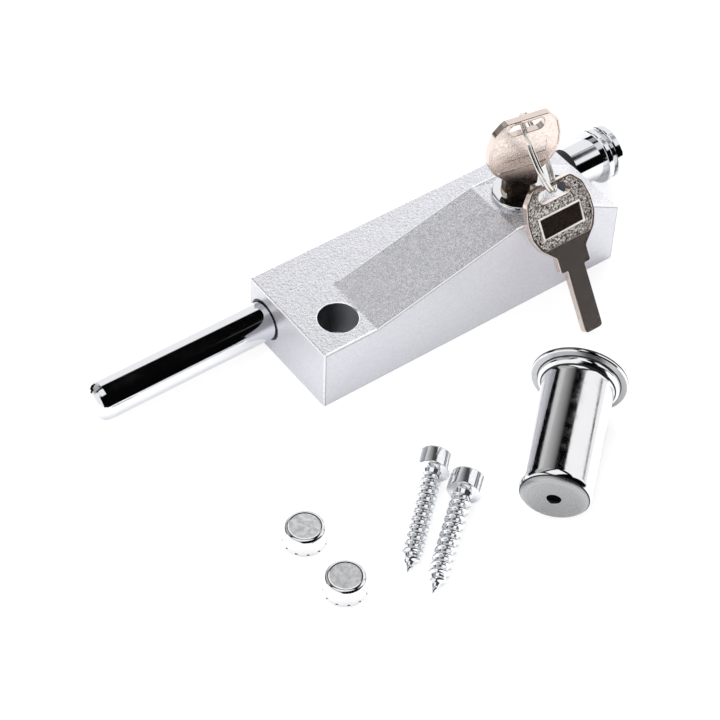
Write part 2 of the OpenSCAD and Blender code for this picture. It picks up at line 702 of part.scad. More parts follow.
// Slide that the cam's pin pushes into the rod's locking hole
module locking_slide() {
    color("silver") from_corner() translate([lock_x, 0, rod_z]) difference() {
        union() {
            translate([slide_x0, slide_y0, -slide_t / 2])
                cube([slide_x1 - slide_x0, slide_y1 - slide_y0, slide_t]);
            translate([0, slide_y1 - 1, 0]) rotate([-90, 0, 0])
                cylinder(d = slide_nose_d, h = nose_tip_y - slide_y1 + 1, $fn = fn_small);
            translate([0, tail_tip_y, 0]) rotate([-90, 0, 0])
                cylinder(d = slide_tail_d, h = slide_y0 - tail_tip_y + 1, $fn = fn_small);
        }
        translate([-cam_throw * (1 + cos(key_turn / 2)) / 2, lock_y - cam_throw * sin(key_turn / 2), -slide_t])
            linear_extrude(2 * slide_t) slot_2d(cam_throw * (1 - cos(key_turn / 2)) / 2
                + cam_pin_d / 2 + slide_gap + 0.15, cam_pin_d / 2 + slide_gap);
    }
}

// Half outline of a key, mirrored to a whole one, with its depth pointing down
function key_points() =
    let (right = [for (p = bow_half) [p[0], -p[1]]], left = [for (p = bow_half) [-p[0], -p[1]]])
    concat(right, [[shoulder_half, -bow_l], [blade_w / 2, -bow_l],
        [blade_w / 2, -key_l], [-blade_w / 2, -key_l], [-blade_w / 2, -bow_l],
        [-shoulder_half, -bow_l]], [for (i = [len(left) - 1:-1:0]) left[i]]);
function key_radii() = concat(bow_round, [1, 0.3, 1.4, 1.4, 0.3, 1],
    [for (i = [len(bow_round) - 1:-1:0]) bow_round[i]]);

// A key in its own plane: X across, Y up to the top of the bow, Z through its thickness
module key_blank() {
    difference() {
        linear_extrude(key_t, center = true) difference() {
            polygon(rounded(key_points(), key_radii()));
            translate([0, -(slot_top + slot_low) / 2]) slot_2d(slot_half, (slot_low - slot_top) / 2);
        }
        for (side = [-1, 1]) translate([0, -panel_at, side * key_t / 2])
            cube([panel_l, panel_w, 2 * panel_depth], center = true);
    }
}

// Key that stands in the lock
module lock_key() {
    color("wheat") on_lock_axis(true) translate([0, 0, key_top]) rotate([90, 0, 0]) key_blank();
}

// Split ring through both bows, as its two closed turns
module key_ring() {
    color("lightgray") from_corner() translate(ring_at) rotate([0, ring_tilt, ring_turn])
        rotate_extrude($fn = fn_round) for (side = [-1, 1])
            translate([ring_d / 2, side * ring_pitch / 2]) circle(d = ring_wire_d, $fn = 24);
}

// Spare key that hangs from the ring and leans on the crest's near edge
module spare_key() {
    color("dimgray") from_corner() translate([spare_x, 0, crest_h]) rotate([spare_lean, 0, 0])
        translate([0, spare_top, key_t / 2 + free_gap]) key_blank();
}

// Deep-drawn receiver sleeve, lying on its side
module receiver_sleeve() {
    r = sleeve_d / 2;
    f = sleeve_flange_d / 2;
    b = sleeve_bead_d / 2;
    t = sleeve_t;
    e = sleeve_end_r;
    flare = sleeve_l - sleeve_bead_l - sleeve_flare_l;
    bead = sleeve_l - sleeve_bead_l;
    outer = concat([[sleeve_hole_d / 2, 0]], arc([r - e, e], e, -90, 0, 6),
        [[r, flare], [r + 0.4, flare + 0.9], [b - 0.5, bead - 0.9], [b, bead - 0.3], [b, bead + 0.3],
         [f - 0.4, bead + 0.3], [f, bead + 0.7], [f, sleeve_l - 0.5], [f - 0.5, sleeve_l]]);
    inner = concat([[f - 1.4, sleeve_l], [b - t, bead + 1.1], [b - t, bead],
        [b - 0.5 - t, bead - 0.6], [r - t, flare + 0.6]],
        [for (p = arc([r - e, e], e - t, 0, -90, 6)) p], [[sleeve_hole_d / 2, t]]);
    color("lightgray") from_corner() translate([sleeve_at[0], sleeve_at[1], 0]) rotate([0, 0, sleeve_turn])
        translate([0, 0, r / cos(sleeve_lean) - e * tan(sleeve_lean)]) rotate([0, 90 - sleeve_lean, 0])
            rotate_extrude($fn = fn_round) polygon(concat(outer, inner));
}

// Outline of a mounting screw from its head's top down to its point
function screw_outline() =
    let (core = screw_core_d / 2, top = head_h + shoulder_h, turns = floor((screw_l - shoulder_h - 6) / screw_pitch))
    concat([[0, 0]], arc([head_d / 2 - 0.5, 0.5], 0.5, -90, 0, 3), [[head_d / 2, head_h],
        [screw_d / 2 + 0.4, head_h + 0.6], [core + 0.3, top]],
        [for (i = [0:turns - 1]) let (z = top + 0.6 + i * screw_pitch)
            each [[core, z], [screw_d / 2, z + 0.9], [screw_d / 2, z + 1.2], [core, z + 1.9]]],
        [[core, head_h + screw_l - 5], [0, head_h + screw_l]]);

// One mounting screw lying on its head and its last thread
module lying_screw(at, turn) {
    translate([at[0], at[1], 0]) rotate([0, 0, turn])
        translate([0, 0, head_d / 2 * cos(screw_lean) + (head_h + 0.1) * sin(screw_lean)])
            rotate([0, 90 + screw_lean, 0]) difference() {
                rotate_extrude($fn = fn_small) polygon(screw_outline());
                translate([0, 0, -1]) cylinder(d = socket_w / cos(30), h = socket_depth + 1, $fn = 6);
            }
}

module mounting_screws() {
    color("lightgray") from_corner() for (i = [0, 1]) lying_screw(screw_at[i], screw_turn[i]);
}

// One cap: flat top, rounded shoulder and a notched lip that springs into the recess
module cap() {
    r = cap_d / 2;
    lip = cap_lip_d / 2;
    difference() {
        rotate_extrude($fn = fn_round) polygon(concat([[0, cap_h]],
            arc([cap_flat_d / 2, cap_h - cap_round], cap_round, 90, 0, 6),
            [[r, cap_lip_h + 0.4], [lip, 0.2], [lip - 0.1, 0], [lip - cap_t, 0], [r - cap_t, cap_lip_h],
             [r - cap_t, cap_h - cap_round], [cap_flat_d / 2, cap_h - cap_t], [0, cap_h - cap_t]]));
        for (i = [0:cap_notches - 1]) rotate([0, 0, 360 * i / cap_notches])
            translate([lip - 1.4, -0.35, -1]) cube([3, 0.7, 2]);
    }
}

module screw_caps() {
    color("lightgray") from_corner() for (p = cap_at) translate([p[0], p[1], 0]) cap();
}

body_casting();
base_plate();
plate_screws();
front_bush();
rear_bush();
bolt_rod();
stop_pin();
knob_buffer();
pull_knob();
knob_screw();
friction_pad();
pad_spring();
pad_screw();
lock_barrel();
barrel_nut();
lock_washer();
lock_bezel();
lock_plug();
wafers();
cam();
cam_clip();
locking_slide();
lock_key();
key_ring();
spare_key();
receiver_sleeve();
mounting_screws();
screw_caps();
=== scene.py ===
"""Looks of a key-locking sliding door bolt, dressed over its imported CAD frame.

Sizes are in millimetres from the body's near front lower corner, with X along the bolt towards
its knob, Y across the body and Z up. A finished mesh is in metres in the frame's own axes.
"""

import logging
import math
from collections.abc import Sequence
from dataclasses import dataclass
from enum import IntEnum
from typing import Any

import bmesh
import bpy
from mathutils import Matrix, Vector
from mathutils.geometry import delaunay_2d_cdt


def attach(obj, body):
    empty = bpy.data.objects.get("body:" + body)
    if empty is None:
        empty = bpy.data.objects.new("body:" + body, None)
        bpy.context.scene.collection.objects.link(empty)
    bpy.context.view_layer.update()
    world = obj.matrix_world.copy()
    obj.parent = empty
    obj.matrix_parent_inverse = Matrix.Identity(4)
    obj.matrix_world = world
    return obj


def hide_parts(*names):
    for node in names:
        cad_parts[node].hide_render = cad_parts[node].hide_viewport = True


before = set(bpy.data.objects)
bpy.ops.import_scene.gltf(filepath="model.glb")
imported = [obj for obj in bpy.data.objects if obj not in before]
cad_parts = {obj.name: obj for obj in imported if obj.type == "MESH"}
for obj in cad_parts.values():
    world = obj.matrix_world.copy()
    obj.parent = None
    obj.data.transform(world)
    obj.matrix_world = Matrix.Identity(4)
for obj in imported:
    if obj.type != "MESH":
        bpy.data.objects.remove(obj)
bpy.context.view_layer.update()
log = logging.getLogger("door bolt")

Point = tuple[float, float]
Triple = tuple[float, float, float]
Solid = bmesh.types.BMesh
Tree = bpy.types.NodeTree
Node = bpy.types.Node
Socket = bpy.types.NodeSocket
# A node's inputs in order, or by name or number
Inputs = dict[Any, Any] | Sequence[Any]

MATH = "ShaderNodeMath"
# Takes in order: a value, the two ends of its range, and the two ends of the range it turns into
RANGE = "ShaderNodeMapRange"
MIX = "ShaderNodeMix"
NOISE = "ShaderNodeTexNoise"
BUMP = "ShaderNodeBump"

# Millimetres in a metre: Object coordinates, and so a pattern's scale, are in metres
METRE = 1000
# A Wave Texture's waves are this long, in millimetres at a scale of 1; each is two rings
WAVE = 314
# From the body's corner to the frame's origin, then to metres
ROW = Matrix.Scale(1 / METRE, 4) @ Matrix.Translation((-55.0, -10.4, 0.0))


def srgb(code: str) -> tuple[float, float, float, float]:
    """Turns an sRGB hex colour into linear RGBA.

    Args:
        code: The colour, as #RRGGBB.

    Returns:
        Its linear red, green, blue and alpha.
    """
    parts = [int(code[i:i + 2], 16) / 255 for i in (1, 3, 5)]
    linear = [c / 12.92 if c <= 0.04045 else ((c + 0.055) / 1.055) ** 2.4 for c in parts]
    return (linear[0], linear[1], linear[2], 1.0)


def feed(node: Node, inputs: Inputs) -> None:
    """Sets a node's inputs, or links them.

    Args:
        node: The node.
        inputs: Its inputs. Each is a value, a socket, or another node, which stands for its
            first output in use.
    """
    for key, value in inputs.items() if isinstance(inputs, dict) else enumerate(inputs):
        if isinstance(value, Node):
            value = next(out for out in value.outputs if out.enabled)
        if isinstance(value, Socket):
            node.id_data.links.new(value, node.inputs[key])
        else:
            node.inputs[key].default_value = value


def add(tree: Tree, kind: str, inputs: Inputs = (), **settings: Any) -> Node:
    """Adds one node to a tree, with its settings and links.

    Args:
        tree: The tree that gets the node.
        kind: The node's type name.
        inputs: Its inputs, as feed() takes them.
        **settings: Values for its properties.

    Returns:
        The new node.
    """
    made = tree.nodes.new(kind)
    for key, value in settings.items():
        setattr(made, key, value)
    feed(made, inputs)
    return made


def emptied(owner: bpy.types.Material | bpy.types.World) -> Tree:
    """Gives the node tree of a material or world, with nothing in it.

    Args:
        owner: The material or world.

    Returns:
        Its emptied tree.
    """
    owner.use_nodes = True
    owner.node_tree.nodes.clear()
    return owner.node_tree


@dataclass(frozen=True)
class Finish:
    """A finish: what the surface is, its colour, how it shines, and how deep its pattern goes."""

    name: str
    colour: str
    metallic: float
    roughness: float
    depth_mm: float = 0.02
    bump: float = 0.5

    def build(self) -> bpy.types.Material:
        """Makes the finish's material, or finds the one already made.

        Returns:
            The material.
        """
        found = bpy.data.materials.get(self.name)
        if found:
            return found
        made = bpy.data.materials.new(self.name)
        tree = emptied(made)
        shader = add(tree, "ShaderNodeBsdfPrincipled", {
            "Base Color": srgb(self.colour), "Metallic": self.metallic,
            "Roughness": self.roughness})
        feed(shader, self.pattern(tree, add(tree, "ShaderNodeTexCoord").outputs["Object"]))
        add(tree, "ShaderNodeOutputMaterial", {"Surface": shader})
        made.diffuse_color = srgb(self.colour)
        return made

    def pattern(self, tree: Tree, place: Socket) -> dict[str, Node]:
        """Makes the finish's own pattern; each class has its own.

        Args:
            tree: The material's tree.
            place: Object coordinates.

        Returns:
            A node for each input of the shader that the pattern drives.
        """
        raise NotImplementedError

    def surface(self, tree: Tree, shine: Inputs, height: Node | Socket) -> dict[str, Node]:
        """Gives a pattern's roughness, from a range as RANGE takes it, and its relief."""
        return {"Roughness": add(tree, RANGE, shine), "Normal": add(tree, BUMP, {
            "Strength": self.bump, "Distance": self.depth_mm / METRE, "Height": height})}


@dataclass(frozen=True)
class Plate(Finish):
    """Polished and electroplated metal: a mirror with faint wiping marks and tiny pits."""

    smear_mm: float = 9.0
    fine: float = 0.35
    haze: float = 0.03
    depth_mm: float = 0.1
    bump: float = 0.04

    def pattern(self, tree: Tree, place: Socket) -> dict[str, Node]:
        """Adds uneven shine and a barely waved surface.

        Args:
            tree: The material's tree.
            place: Object coordinates.

        Returns:
            A node for each input that it drives.
        """
        smear = add(tree, NOISE, {
            "Vector": place, "Scale": METRE / self.smear_mm, "Detail": 4.0, "Roughness": 0.7})
        waves = add(tree, NOISE, {
            "Vector": place, "Scale": METRE / (self.smear_mm * self.fine), "Detail": 1.0})
        return self.surface(tree, (
            smear, 0.35, 0.7, self.roughness, self.roughness + self.haze), waves)


@dataclass(frozen=True)
class Turned(Finish):
    """Metal cut or polished on a lathe: fine rings round its own axis."""

    centre: Triple = (0.0, 0.0, 0.0)
    turn: Triple = (0.0, 0.0, 0.0)
    ring_mm: float = 0.5
    depth_mm: float = 0.04
    bump: float = 0.3

    def pattern(self, tree: Tree, place: Socket) -> dict[str, Node]:
        """Adds rings round the piece's axis, broken up by noise.

        Args:
            tree: The material's tree.
            place: Object coordinates.

        Returns:
            A node for each input that it drives.
        """
        on_axis = add(tree, "ShaderNodeMapping", (place, self.centre, self.turn),
                      vector_type="TEXTURE")
        rings = add(tree, "ShaderNodeTexWave", {
            "Vector": on_axis, "Scale": WAVE / (2 * self.ring_mm), "Distortion": 1.2, "Detail": 2.0,
            "Detail Scale": 0.3}, wave_type="RINGS", rings_direction="Z").outputs["Fac"]
        return self.surface(tree, (
            rings, 0.0, 1.0, self.roughness - 0.06, self.roughness + 0.08), rings)


@dataclass(frozen=True)
class Grained(Finish):
    """A cast, moulded or blasted surface: an all-over grain in height, shine and colour."""

    dark: str = "#202020"
    grain_mm: float = 0.5
    blend: float = 0.3

    def pattern(self, tree: Tree, place: Socket) -> dict[str, Node]:
        """Adds the grain to the colour, the shine and the height.

        Args:
            tree: The material's tree.
            place: Object coordinates.

        Returns:
            A node for each input that it drives.
        """
        grain = add(tree, NOISE, {
            "Vector": place, "Scale": METRE / self.grain_mm, "Detail": 3.0, "Roughness": 0.6})
        return self.darkened(tree, (grain, 0.38, 0.62)) | self.surface(tree, (
            grain, 0.3, 0.7, self.roughness - 0.05, self.roughness + 0.05), grain)

    def darkened(self, tree: Tree, reach: Inputs) -> dict[str, Node]:
        """Gives the colour's blend to the dark one, as a value goes through its range.

        Args:
            tree: The material's tree.
            reach: The value and the ends of its range.

        Returns:
            The node for the shader's colour.
        """
        share = add(tree, RANGE, (*reach, 0.0, self.blend))
        return {"Base Color": add(tree, MIX, {
            "Factor": share, "A": srgb(self.colour), "B": srgb(self.dark)}, data_type="RGBA")}


@dataclass(frozen=True)
class SparkleCoat(Grained):
    """Powder coat with aluminium flake, sprayed and baked: fine light and dark specks."""

    dark: str = "#C9CAD0"
    flake_mm: float = 0.5
    peel_mm: float = 0.8
    depth_mm: float = 0.16
    bump: float = 0.8
    blend: float = 0.5

    def pattern(self, tree: Tree, place: Socket) -> dict[str, Node]:
        """Adds flakes to the colour and a slight orange peel to the surface.

        Args:
            tree: The material's tree.
            place: Object coordinates.

        Returns:
            A node for each input that it drives.
        """
        flake = add(tree, "ShaderNodeTexVoronoi", {"Vector": place, "Scale": METRE / self.flake_mm})
        level = add(tree, "ShaderNodeSeparateColor", (flake.outputs["Color"],)).outputs
        peel = add(tree, NOISE, {
            "Vector": place, "Scale": METRE / self.peel_mm, "Detail": 2.0, "Roughness": 0.6})
        return self.darkened(tree, (level["Red"], 0.0, 1.0)) | self.surface(tree, (
            level["Green"], 0.0, 1.0, self.roughness - 0.08, self.roughness + 0.12), peel)


@dataclass(frozen=True)
class ShadeFade(Grained):
    """Painted shade that fades along one direction: dark at one end, the unshaded colour at the
    other.
    """

    # The colour where the painted shade ends, the direction of the fade, and where it is full and
    # gone
    unshaded: str = "#C0C2C8"
    across: Triple = (0.79, -0.61, 0.0)
    full_shade_at: float = 0.0
    no_shade_at: float = 0.01

    def pattern(self, tree: Tree, place: Socket) -> dict[str, Node]:
        """Adds the grain, then fades its painted shade to the unshaded colour along one direction.

        Args:
            tree: The material's tree.
            place: Object coordinates.

        Returns:
            A node for each input that it drives.
        """
        looks = super().pattern(tree, place)
        along = add(tree, "ShaderNodeVectorMath", (place, self.across), operation="DOT_PRODUCT")
        reach = add(tree, RANGE, (along, self.full_shade_at, self.no_shade_at),
                    interpolation_type="SMOOTHSTEP")
        looks["Base Color"] = add(tree, MIX, {
            "Factor": reach, "A": looks["Base Color"], "B": srgb(self.unshaded)}, data_type="RGBA")
        return looks


# Zinc die casting under a silver sparkle powder coat: pale grey, grainy, half a mirror
SILVER_COAT = SparkleCoat("silver sparkle powder coat on zinc", "#EEEEF4", 0.76, 0.24)
# The same coat on the upright sides, where it flows out smoother
SIDE_COAT = SparkleCoat(
    "silver powder coat on upright faces", "#EAEAF1", 0.66, 0.38, dark="#D8D8E0", bump=0.2)
# Painted highlight: a white, smoother coat on the lit strips of rounded edges and on recess ledges
RUBBED_COAT = Grained(
    "silver coat with painted edge highlight", "#FFFFFF", 0.25, 0.3, dark="#E6E6EA", grain_mm=0.7,
    depth_mm=0.01, bump=0.2)
# Painted shade: a thin, dull dark line on one strip of each rounded edge
DARK_LINE_COAT = Grained(
    "silver coat with a painted dark line by an edge", "#A9ABB2", 0.5, 0.4, dark="#84868C", grain_mm=0.6,
    bump=0.3)
# Painted shade in the screw recesses: dark, dull walls that fade to paler grey towards one side
BARE_CASTING = ShadeFade(
    "zinc casting with painted shade in the recesses", "#2E3035", 0.5, 0.4, dark="#121316", grain_mm=0.8,
    depth_mm=0.08, bump=0.8, unshaded="#A6A9B0", full_shade_at=-0.037, no_shade_at=-0.0275)
# Chromium plate on polished steel or zinc: hard black and white reflections
CHROME = Plate("bright chromium plate", "#E9EAED", 1.0, 0.045)
# Deep-drawn steel, plated without much polish: softer mirror with drawing marks
DRAWN_CHROME = Plate(
    "chromium plate on deep-drawn steel", "#F2F2F4", 1.0, 0.05, smear_mm=3.2, haze=0.1, bump=0.07)
# Plate that keeps the drawing marks, on the back of the flange: grey and dull
DULL_PLATE = Plate("dull plate on the flange", "#C3C4C7", 1.0, 0.3)
# Painted shade: dull dark steel inside the sleeve and caps, in their notches, and in thin sleeve
# lines
SHADE_STEEL = Grained(
    "drawn steel with painted shade", "#3C3D40", 0.7, 0.45, dark="#1E1F21", grain_mm=0.7)
# Zinc plate on steel fasteners: bluish satin
ZINC_PLATE = Grained(
    "bright zinc plate on steel", "#F6F8FB", 0.95, 0.07, dark="#D5D8DE", grain_mm=1.2,
    bump=0.15)
# Flat top of the pressed caps: plated steel with a satin roll finish
SATIN_TOP = Grained(
    "satin plated sheet steel", "#FFFFFF", 0.72, 0.18, dark="#A4A8AF", grain_mm=1.5,
    depth_mm=0.03, blend=0.65)
# Cold-rolled steel sheet with zinc plate: flat, faintly clouded
SHEET = Grained(
    "zinc plated steel sheet", "#B9BCC0", 1.0, 0.34, dark="#8F9398", grain_mm=4.0,
    bump=0.2)
# Phosphated steel of the small inner parts: dark grey and dull
PHOSPHATED = Grained(
    "phosphated steel", "#4B4D50", 1.0, 0.42, dark="#303234", grain_mm=0.4)
# Spring steel wire, nickelled: bright and hard
NICKELLED_WIRE = Plate("nickel plate on spring steel wire", "#E3E0DC", 1.0, 0.08, smear_mm=2.0)
# Nickel silver, tumbled: warm white metal of the key's rims, neck and blade
NICKEL_SILVER = Grained(
    "tumbled nickel silver", "#EADCD5", 0.94, 0.2, dark="#C9B8AF", grain_mm=1.1,
    bump=0.3, blend=0.5)
# The same on the key in the lock, with painted shade on its neck below the bow, where it goes into
# the plug
NECK_SHADE = ShadeFade(
    "nickel silver with painted shade on the neck", "#6E625B", 0.94, 0.2, dark="#3D3530", grain_mm=2.2,
    bump=0.3, blend=0.7, unshaded="#E6D8D0", across=(0.0, 0.0, 1.0),
    full_shade_at=0.0405, no_shade_at=0.0475)
# Nickel silver as cast, in the field on the key's one side: coarse black and white sparkle
CAST_FIELD = Grained(
    "as-cast nickel silver field", "#FFF8F2", 0.9, 0.14, dark="#2C2622", grain_mm=0.62,
    depth_mm=0.5, bump=1.0, blend=1.0)
# The field on its other side, left bare: tumbled nearly smooth
BRIGHT_FIELD = Grained(
    "tumbled nickel silver field", "#FBEFE8", 0.8, 0.25, dark="#D9C8BD", grain_mm=0.9,
    depth_mm=0.12, blend=0.5)
# The narrow frame round the sunk panel, worn white by handling
WORN_FRAME = Grained(
    "worn nickel silver frame", "#FFFAF6", 0.25, 0.35, dark="#E8DED6", grain_mm=0.8,
    depth_mm=0.01, bump=0.2)
# Panel sunk in the bow: smooth and darkened
SUNK_PANEL = Grained(
    "darkened nickel silver panel", "#6B5C53", 0.95, 0.28, dark="#473B34", grain_mm=1.5,
    bump=0.2)
# Free-machining brass: lathe rings, warm yellow
BRASS = Turned("turned brass", "#C9A55C", 1.0, 0.3, centre=(0.024, 0.0016, 0.0))
# Dull nickel plate on the brass plug: dark, with soft black and white reflections
DARK_NICKEL = Plate("dull nickel plate on brass", "#A8A39C", 1.0, 0.12, smear_mm=2.5, haze=0.1)
# Rubber moulding with carbon black: dull with a soft edge light
RUBBER = Grained(
    "moulded black rubber", "#141414", 0.0, 0.62, dark="#080808", grain_mm=0.6)
# Nylon with carbon black, moulded: smooth, slightly glossy
NYLON = Grained(
    "moulded black nylon", "#17181A", 0.0, 0.42, dark="#0D0D0E", grain_mm=0.8, depth_mm=0.015)
# Natural acetal, machined: waxy ivory
ACETAL = Grained(
    "natural acetal", "#E6E3D8", 0.0, 0.38, dark="#D5D1C4", grain_mm=1.4, depth_mm=0.01)


def placed(name: str, data: Any) -> bpy.types.Object:
    """Makes an object of the scene from a mesh, lamp or camera.

    Args:
        name: Its name.
        data: The mesh, lamp or camera.

    Returns:
        The object.
    """
    made = bpy.data.objects.new(name, data)
    bpy.context.scene.collection.objects.link(made)
    return made


def spun(degrees: float, axis: str) -> Matrix:
    """Gives a turn round one axis."""
    return Matrix.Rotation(math.radians(degrees), 4, axis)


def as_mesh(name: str, solid: Solid) -> bpy.types.Mesh:
    """Makes a mesh of a solid, which is freed.

    Args:
        name: The mesh's name.
        solid: The solid.

    Returns:
        The mesh.
    """
    mesh = bpy.data.meshes.new(name)
    solid.to_mesh(mesh)
    solid.free()
    return mesh


def baked(item: bpy.types.Object) -> bpy.types.Mesh:
    """Gives the plain mesh that an object's modifiers make.

    Args:
        item: The object.

    Returns:
        A mesh of its own.
    """
    graph = bpy.context.evaluated_depsgraph_get()
    graph.update()
    return bpy.data.meshes.new_from_object(item.evaluated_get(graph))


def piece(name: str, solid: Solid, finishes: Sequence[Finish], place: Matrix = Matrix(),
          sharp_deg: float = 33.0) -> bpy.types.Object:
    """Makes a finished object of the scene from a solid.

    Args:
        name: The piece's name.
        solid: Its mesh in millimetres in its own axes; freed here.
        finishes: Its finishes, in the order of its faces' material numbers.
        place: Where its axes lie, in millimetres from the body's corner.
        sharp_deg: The angle beyond which an edge stays sharp.

    Returns:
        The object, at the origin with its place in its mesh.
    """
    solid.transform(ROW @ place)
    bmesh.ops.recalc_face_normals(solid, faces=solid.faces)
    mesh = as_mesh(name, solid)
    for finish in finishes:
        mesh.materials.append(finish.build())
    mesh.shade_smooth()
    mesh.set_sharp_from_angle(angle=math.radians(sharp_deg))
    made = placed(name, mesh)
    level = made.modifiers.new("flat faces stay flat", "WEIGHTED_NORMAL")
    level.mode, level.weight, level.keep_sharp = "FACE_AREA", 60, True
    made.data = baked(made)
    made.modifiers.remove(level)
    made.data.name = name
    bpy.data.meshes.remove(mesh)
    log.info("%s: %d faces", name, len(made.data.polygons))
    return made


def hand_over(made: bpy.types.Object, body: str, node: str) -> None:
    """Gives a piece to its moving body, in place of the CAD node that it stands for.

    Args:
        made: The piece.
        body: Its body.
        node: The CAD node.
    """
    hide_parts(node)
    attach(made, body)


def dress_node(name: str, finish: Finish) -> None:
    """Gives a CAD node its finish.

    Args:
        name: The node's name.
        finish: Its finish.
    """
    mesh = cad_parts[name].data
    mesh.materials.clear()
    mesh.materials.append(finish.build())
    for face in mesh.polygons:
        face.material_index = 0
    log.info("%s: %s", name, finish.name)


def eased(points: Sequence[Point], radii: Sequence[float], steps: int = 8) -> list[Point]:
    """Rounds the corners of an open profile.

    Args:
        points: Its corners.
        radii: The radius at each corner; 0 keeps it sharp.
        steps: Steps in each arc.

    Returns:
        The rounded profile.
    """
    out: list[Point] = [tuple(points[0])]
    for i in range(1, len(points) - 1):
        here, before, after = (Vector(points[k]) for k in (i, i - 1, i + 1))
        a, b = (before - here), (after - here)
        if radii[i] <= 0:
            out.append(tuple(here))
            continue
        half = a.angle(b) / 2
        reach = min(radii[i] / math.tan(half), a.length * 0.49, b.length * 0.49)
        start, end = here + a.normalized() * reach, here + b.normalized() * reach
        for t in (k / steps for k in range(steps + 1)):
            out.append(tuple(start * (1 - t) ** 2 + here * 2 * t * (1 - t) + end * t ** 2))
    out.append(tuple(points[-1]))
    return out


def skin(solid: Solid, low: Sequence[Any], high: Sequence[Any]) -> None:
    """Joins two rings of corners with faces; a ring of one corner is a point.

    Args:
        solid: The mesh that has them.
        low: One ring.
        high: The other.
    """
    steps = max(len(low), len(high))
    for k in range(steps):
        n = (k + 1) % steps
        ends = (low[k % len(low)], low[n % len(low)], high[n % len(high)], high[k % len(high)])
        corners = list(dict.fromkeys(ends))
        if len(corners) > 2:
            solid.faces.new(corners)


def lathe(profile: Sequence[Point], segments: int, closed: bool = False) -> Solid:
    """Turns a profile of radius and height round Z.

    Args:
        profile: Points of radius and height.
        segments: Steps round the axis.
        closed: Whether the last point joins the first.

    Returns:
        The turned surface.
    """
    solid = bmesh.new()
    turns = [math.tau * k / segments for k in range(segments)]
    rings = [[solid.verts.new((radius * math.cos(t), radius * math.sin(t), height)) for t in turns]
             for radius, height in profile]
    for low, high in zip(rings, rings[1:] + rings[:1] if closed else rings[1:]):
        skin(solid, low, high)
    return solid


def joined(*solids: Solid) -> Solid:
    """Puts several meshes into one; the later ones are freed.

    Args:
        *solids: The meshes.

    Returns:
        The first, with the others in it.
    """
    for other in solids[1:]:
        spare = as_mesh("joining", other)
        solids[0].from_mesh(spare)
        bpy.data.meshes.remove(spare)
    return solids[0]


def without_repeats(loop: Sequence[Point], least: float = 1e-4) -> list[Point]:
    """Gives a loop without the points that repeat the one before.

    Args:
        loop: Its points.
        least: The least distance between two.

    Returns:
        The points that stay.
    """
    out: list[Point] = []
    for p in loop:
        if not out or (Vector(p) - Vector(out[-1])).length > least:
            out.append(p)
    if (Vector(out[0]) - Vector(out[-1])).length < least:
        out.pop()
    return out


def inset(loop: Sequence[Point], by: float) -> list[Point]:
    """Moves each point of an anticlockwise loop inwards.

    Args:
        loop: The loop's points.
        by: How far; a negative value moves outwards.

    Returns:
        The moved loop.
    """
    out: list[Point] = []
    for i in range(len(loop)):
        before, here, after = (Vector(loop[k % len(loop)]) for k in (i - 1, i, i + 1))
        a, b = (here - before).normalized(), (after - here).normalized()
        side = Vector((-a.y, a.x))
        mean = (side + Vector((-b.y, b.x))).normalized()
        out.append(tuple(here + mean * by / max(0.5, mean.dot(side))))
    return out


def inside(p: Sequence[float], loop: Sequence[Point]) -> bool:
    """Tells whether a point lies in a loop.

    Args:
        p: The point.
        loop: The loop's points.

    Returns:
        Whether it does.
    """
    found = False
    for (x0, y0), (x1, y1) in zip(loop, [*loop[1:], loop[0]]):
        if (y0 > p[1]) != (y1 > p[1]) and p[0] < (x1 - x0) * (p[1] - y0) / (y1 - y0) + x0:
            found = not found
    return found


class GeometryRecipe:
    """A Geometry Nodes tree with named inputs, run once on an object and then taken off."""

    sockets = {float: "NodeSocketFloat", int: "NodeSocketInt",
               bpy.types.Material: "NodeSocketMaterial"}

    def __init__(self, name: str, inputs: dict[str, Any]) -> None:
        """Makes the tree with its geometry sockets and named inputs.

        Args:
            name: The tree's name.
            inputs: The value of each input, whose type says which socket it gets.
        """
        self.values = inputs
        self.tree = bpy.data.node_groups.new(name, "GeometryNodeTree")
        face = self.tree.interface
        face.new_socket("Geometry", in_out="INPUT", socket_type="NodeSocketGeometry")
        for key, value in inputs.items():
            face.new_socket(key, in_out="INPUT", socket_type=self.sockets[type(value)])
        face.new_socket("Geometry", in_out="OUTPUT", socket_type="NodeSocketGeometry")
        self.given = add(self.tree, "NodeGroupInput").outputs
        real = add(self.tree, "GeometryNodeRealizeInstances", (self.build(),))
        dressed = add(self.tree, "GeometryNodeSetMaterial", {
            "Geometry": real, "Material": self.given["Finish"]})
        add(self.tree, "NodeGroupOutput", (dressed,))

    def build(self) -> Node:
        """Fills the tree and gives the node of its shape; each recipe has its own."""
        raise NotImplementedError

    def run(self, start: Solid | None = None) -> Solid:
        """Runs the tree on a mesh.

        Args:
            start: The mesh that it starts from, freed here; an empty one by default.

        Returns:
            The mesh that it makes.
        """
        item = placed(self.tree.name, as_mesh(self.tree.name, start or bmesh.new()))
        modifier = item.modifiers.new(self.tree.name, "NODES")
        modifier.node_group = self.tree
        for socket in self.tree.interface.items_tree:
            if socket.in_out == "INPUT" and socket.name in self.values:
                modifier[socket.identifier] = self.values[socket.name]
        made = baked(item)
        out = bmesh.new()
        out.from_mesh(made)
        for face in out.faces:
            face.material_index = 0
        bpy.data.objects.remove(item)
        bpy.data.meshes.remove(made)
        return out


class WireRecipe(GeometryRecipe):
    """Sweeps a round wire along a path."""

    def build(self) -> Node:
        """Path to curve, curve to tube with closed ends.

        Returns:
            The node of the tube.
        """
        path = add(self.tree, "GeometryNodeMeshToCurve", (self.given["Geometry"],))
        upright = add(self.tree, "GeometryNodeSetCurveNormal", (path,))
        section = add(self.tree, "GeometryNodeCurvePrimitiveCircle", {
            "Resolution": self.given["Sides"], "Radius": self.given["Wire Radius"]})
        return add(self.tree, "GeometryNodeCurveToMesh", {
            "Curve": upright, "Profile Curve": section, "Fill Caps": True})


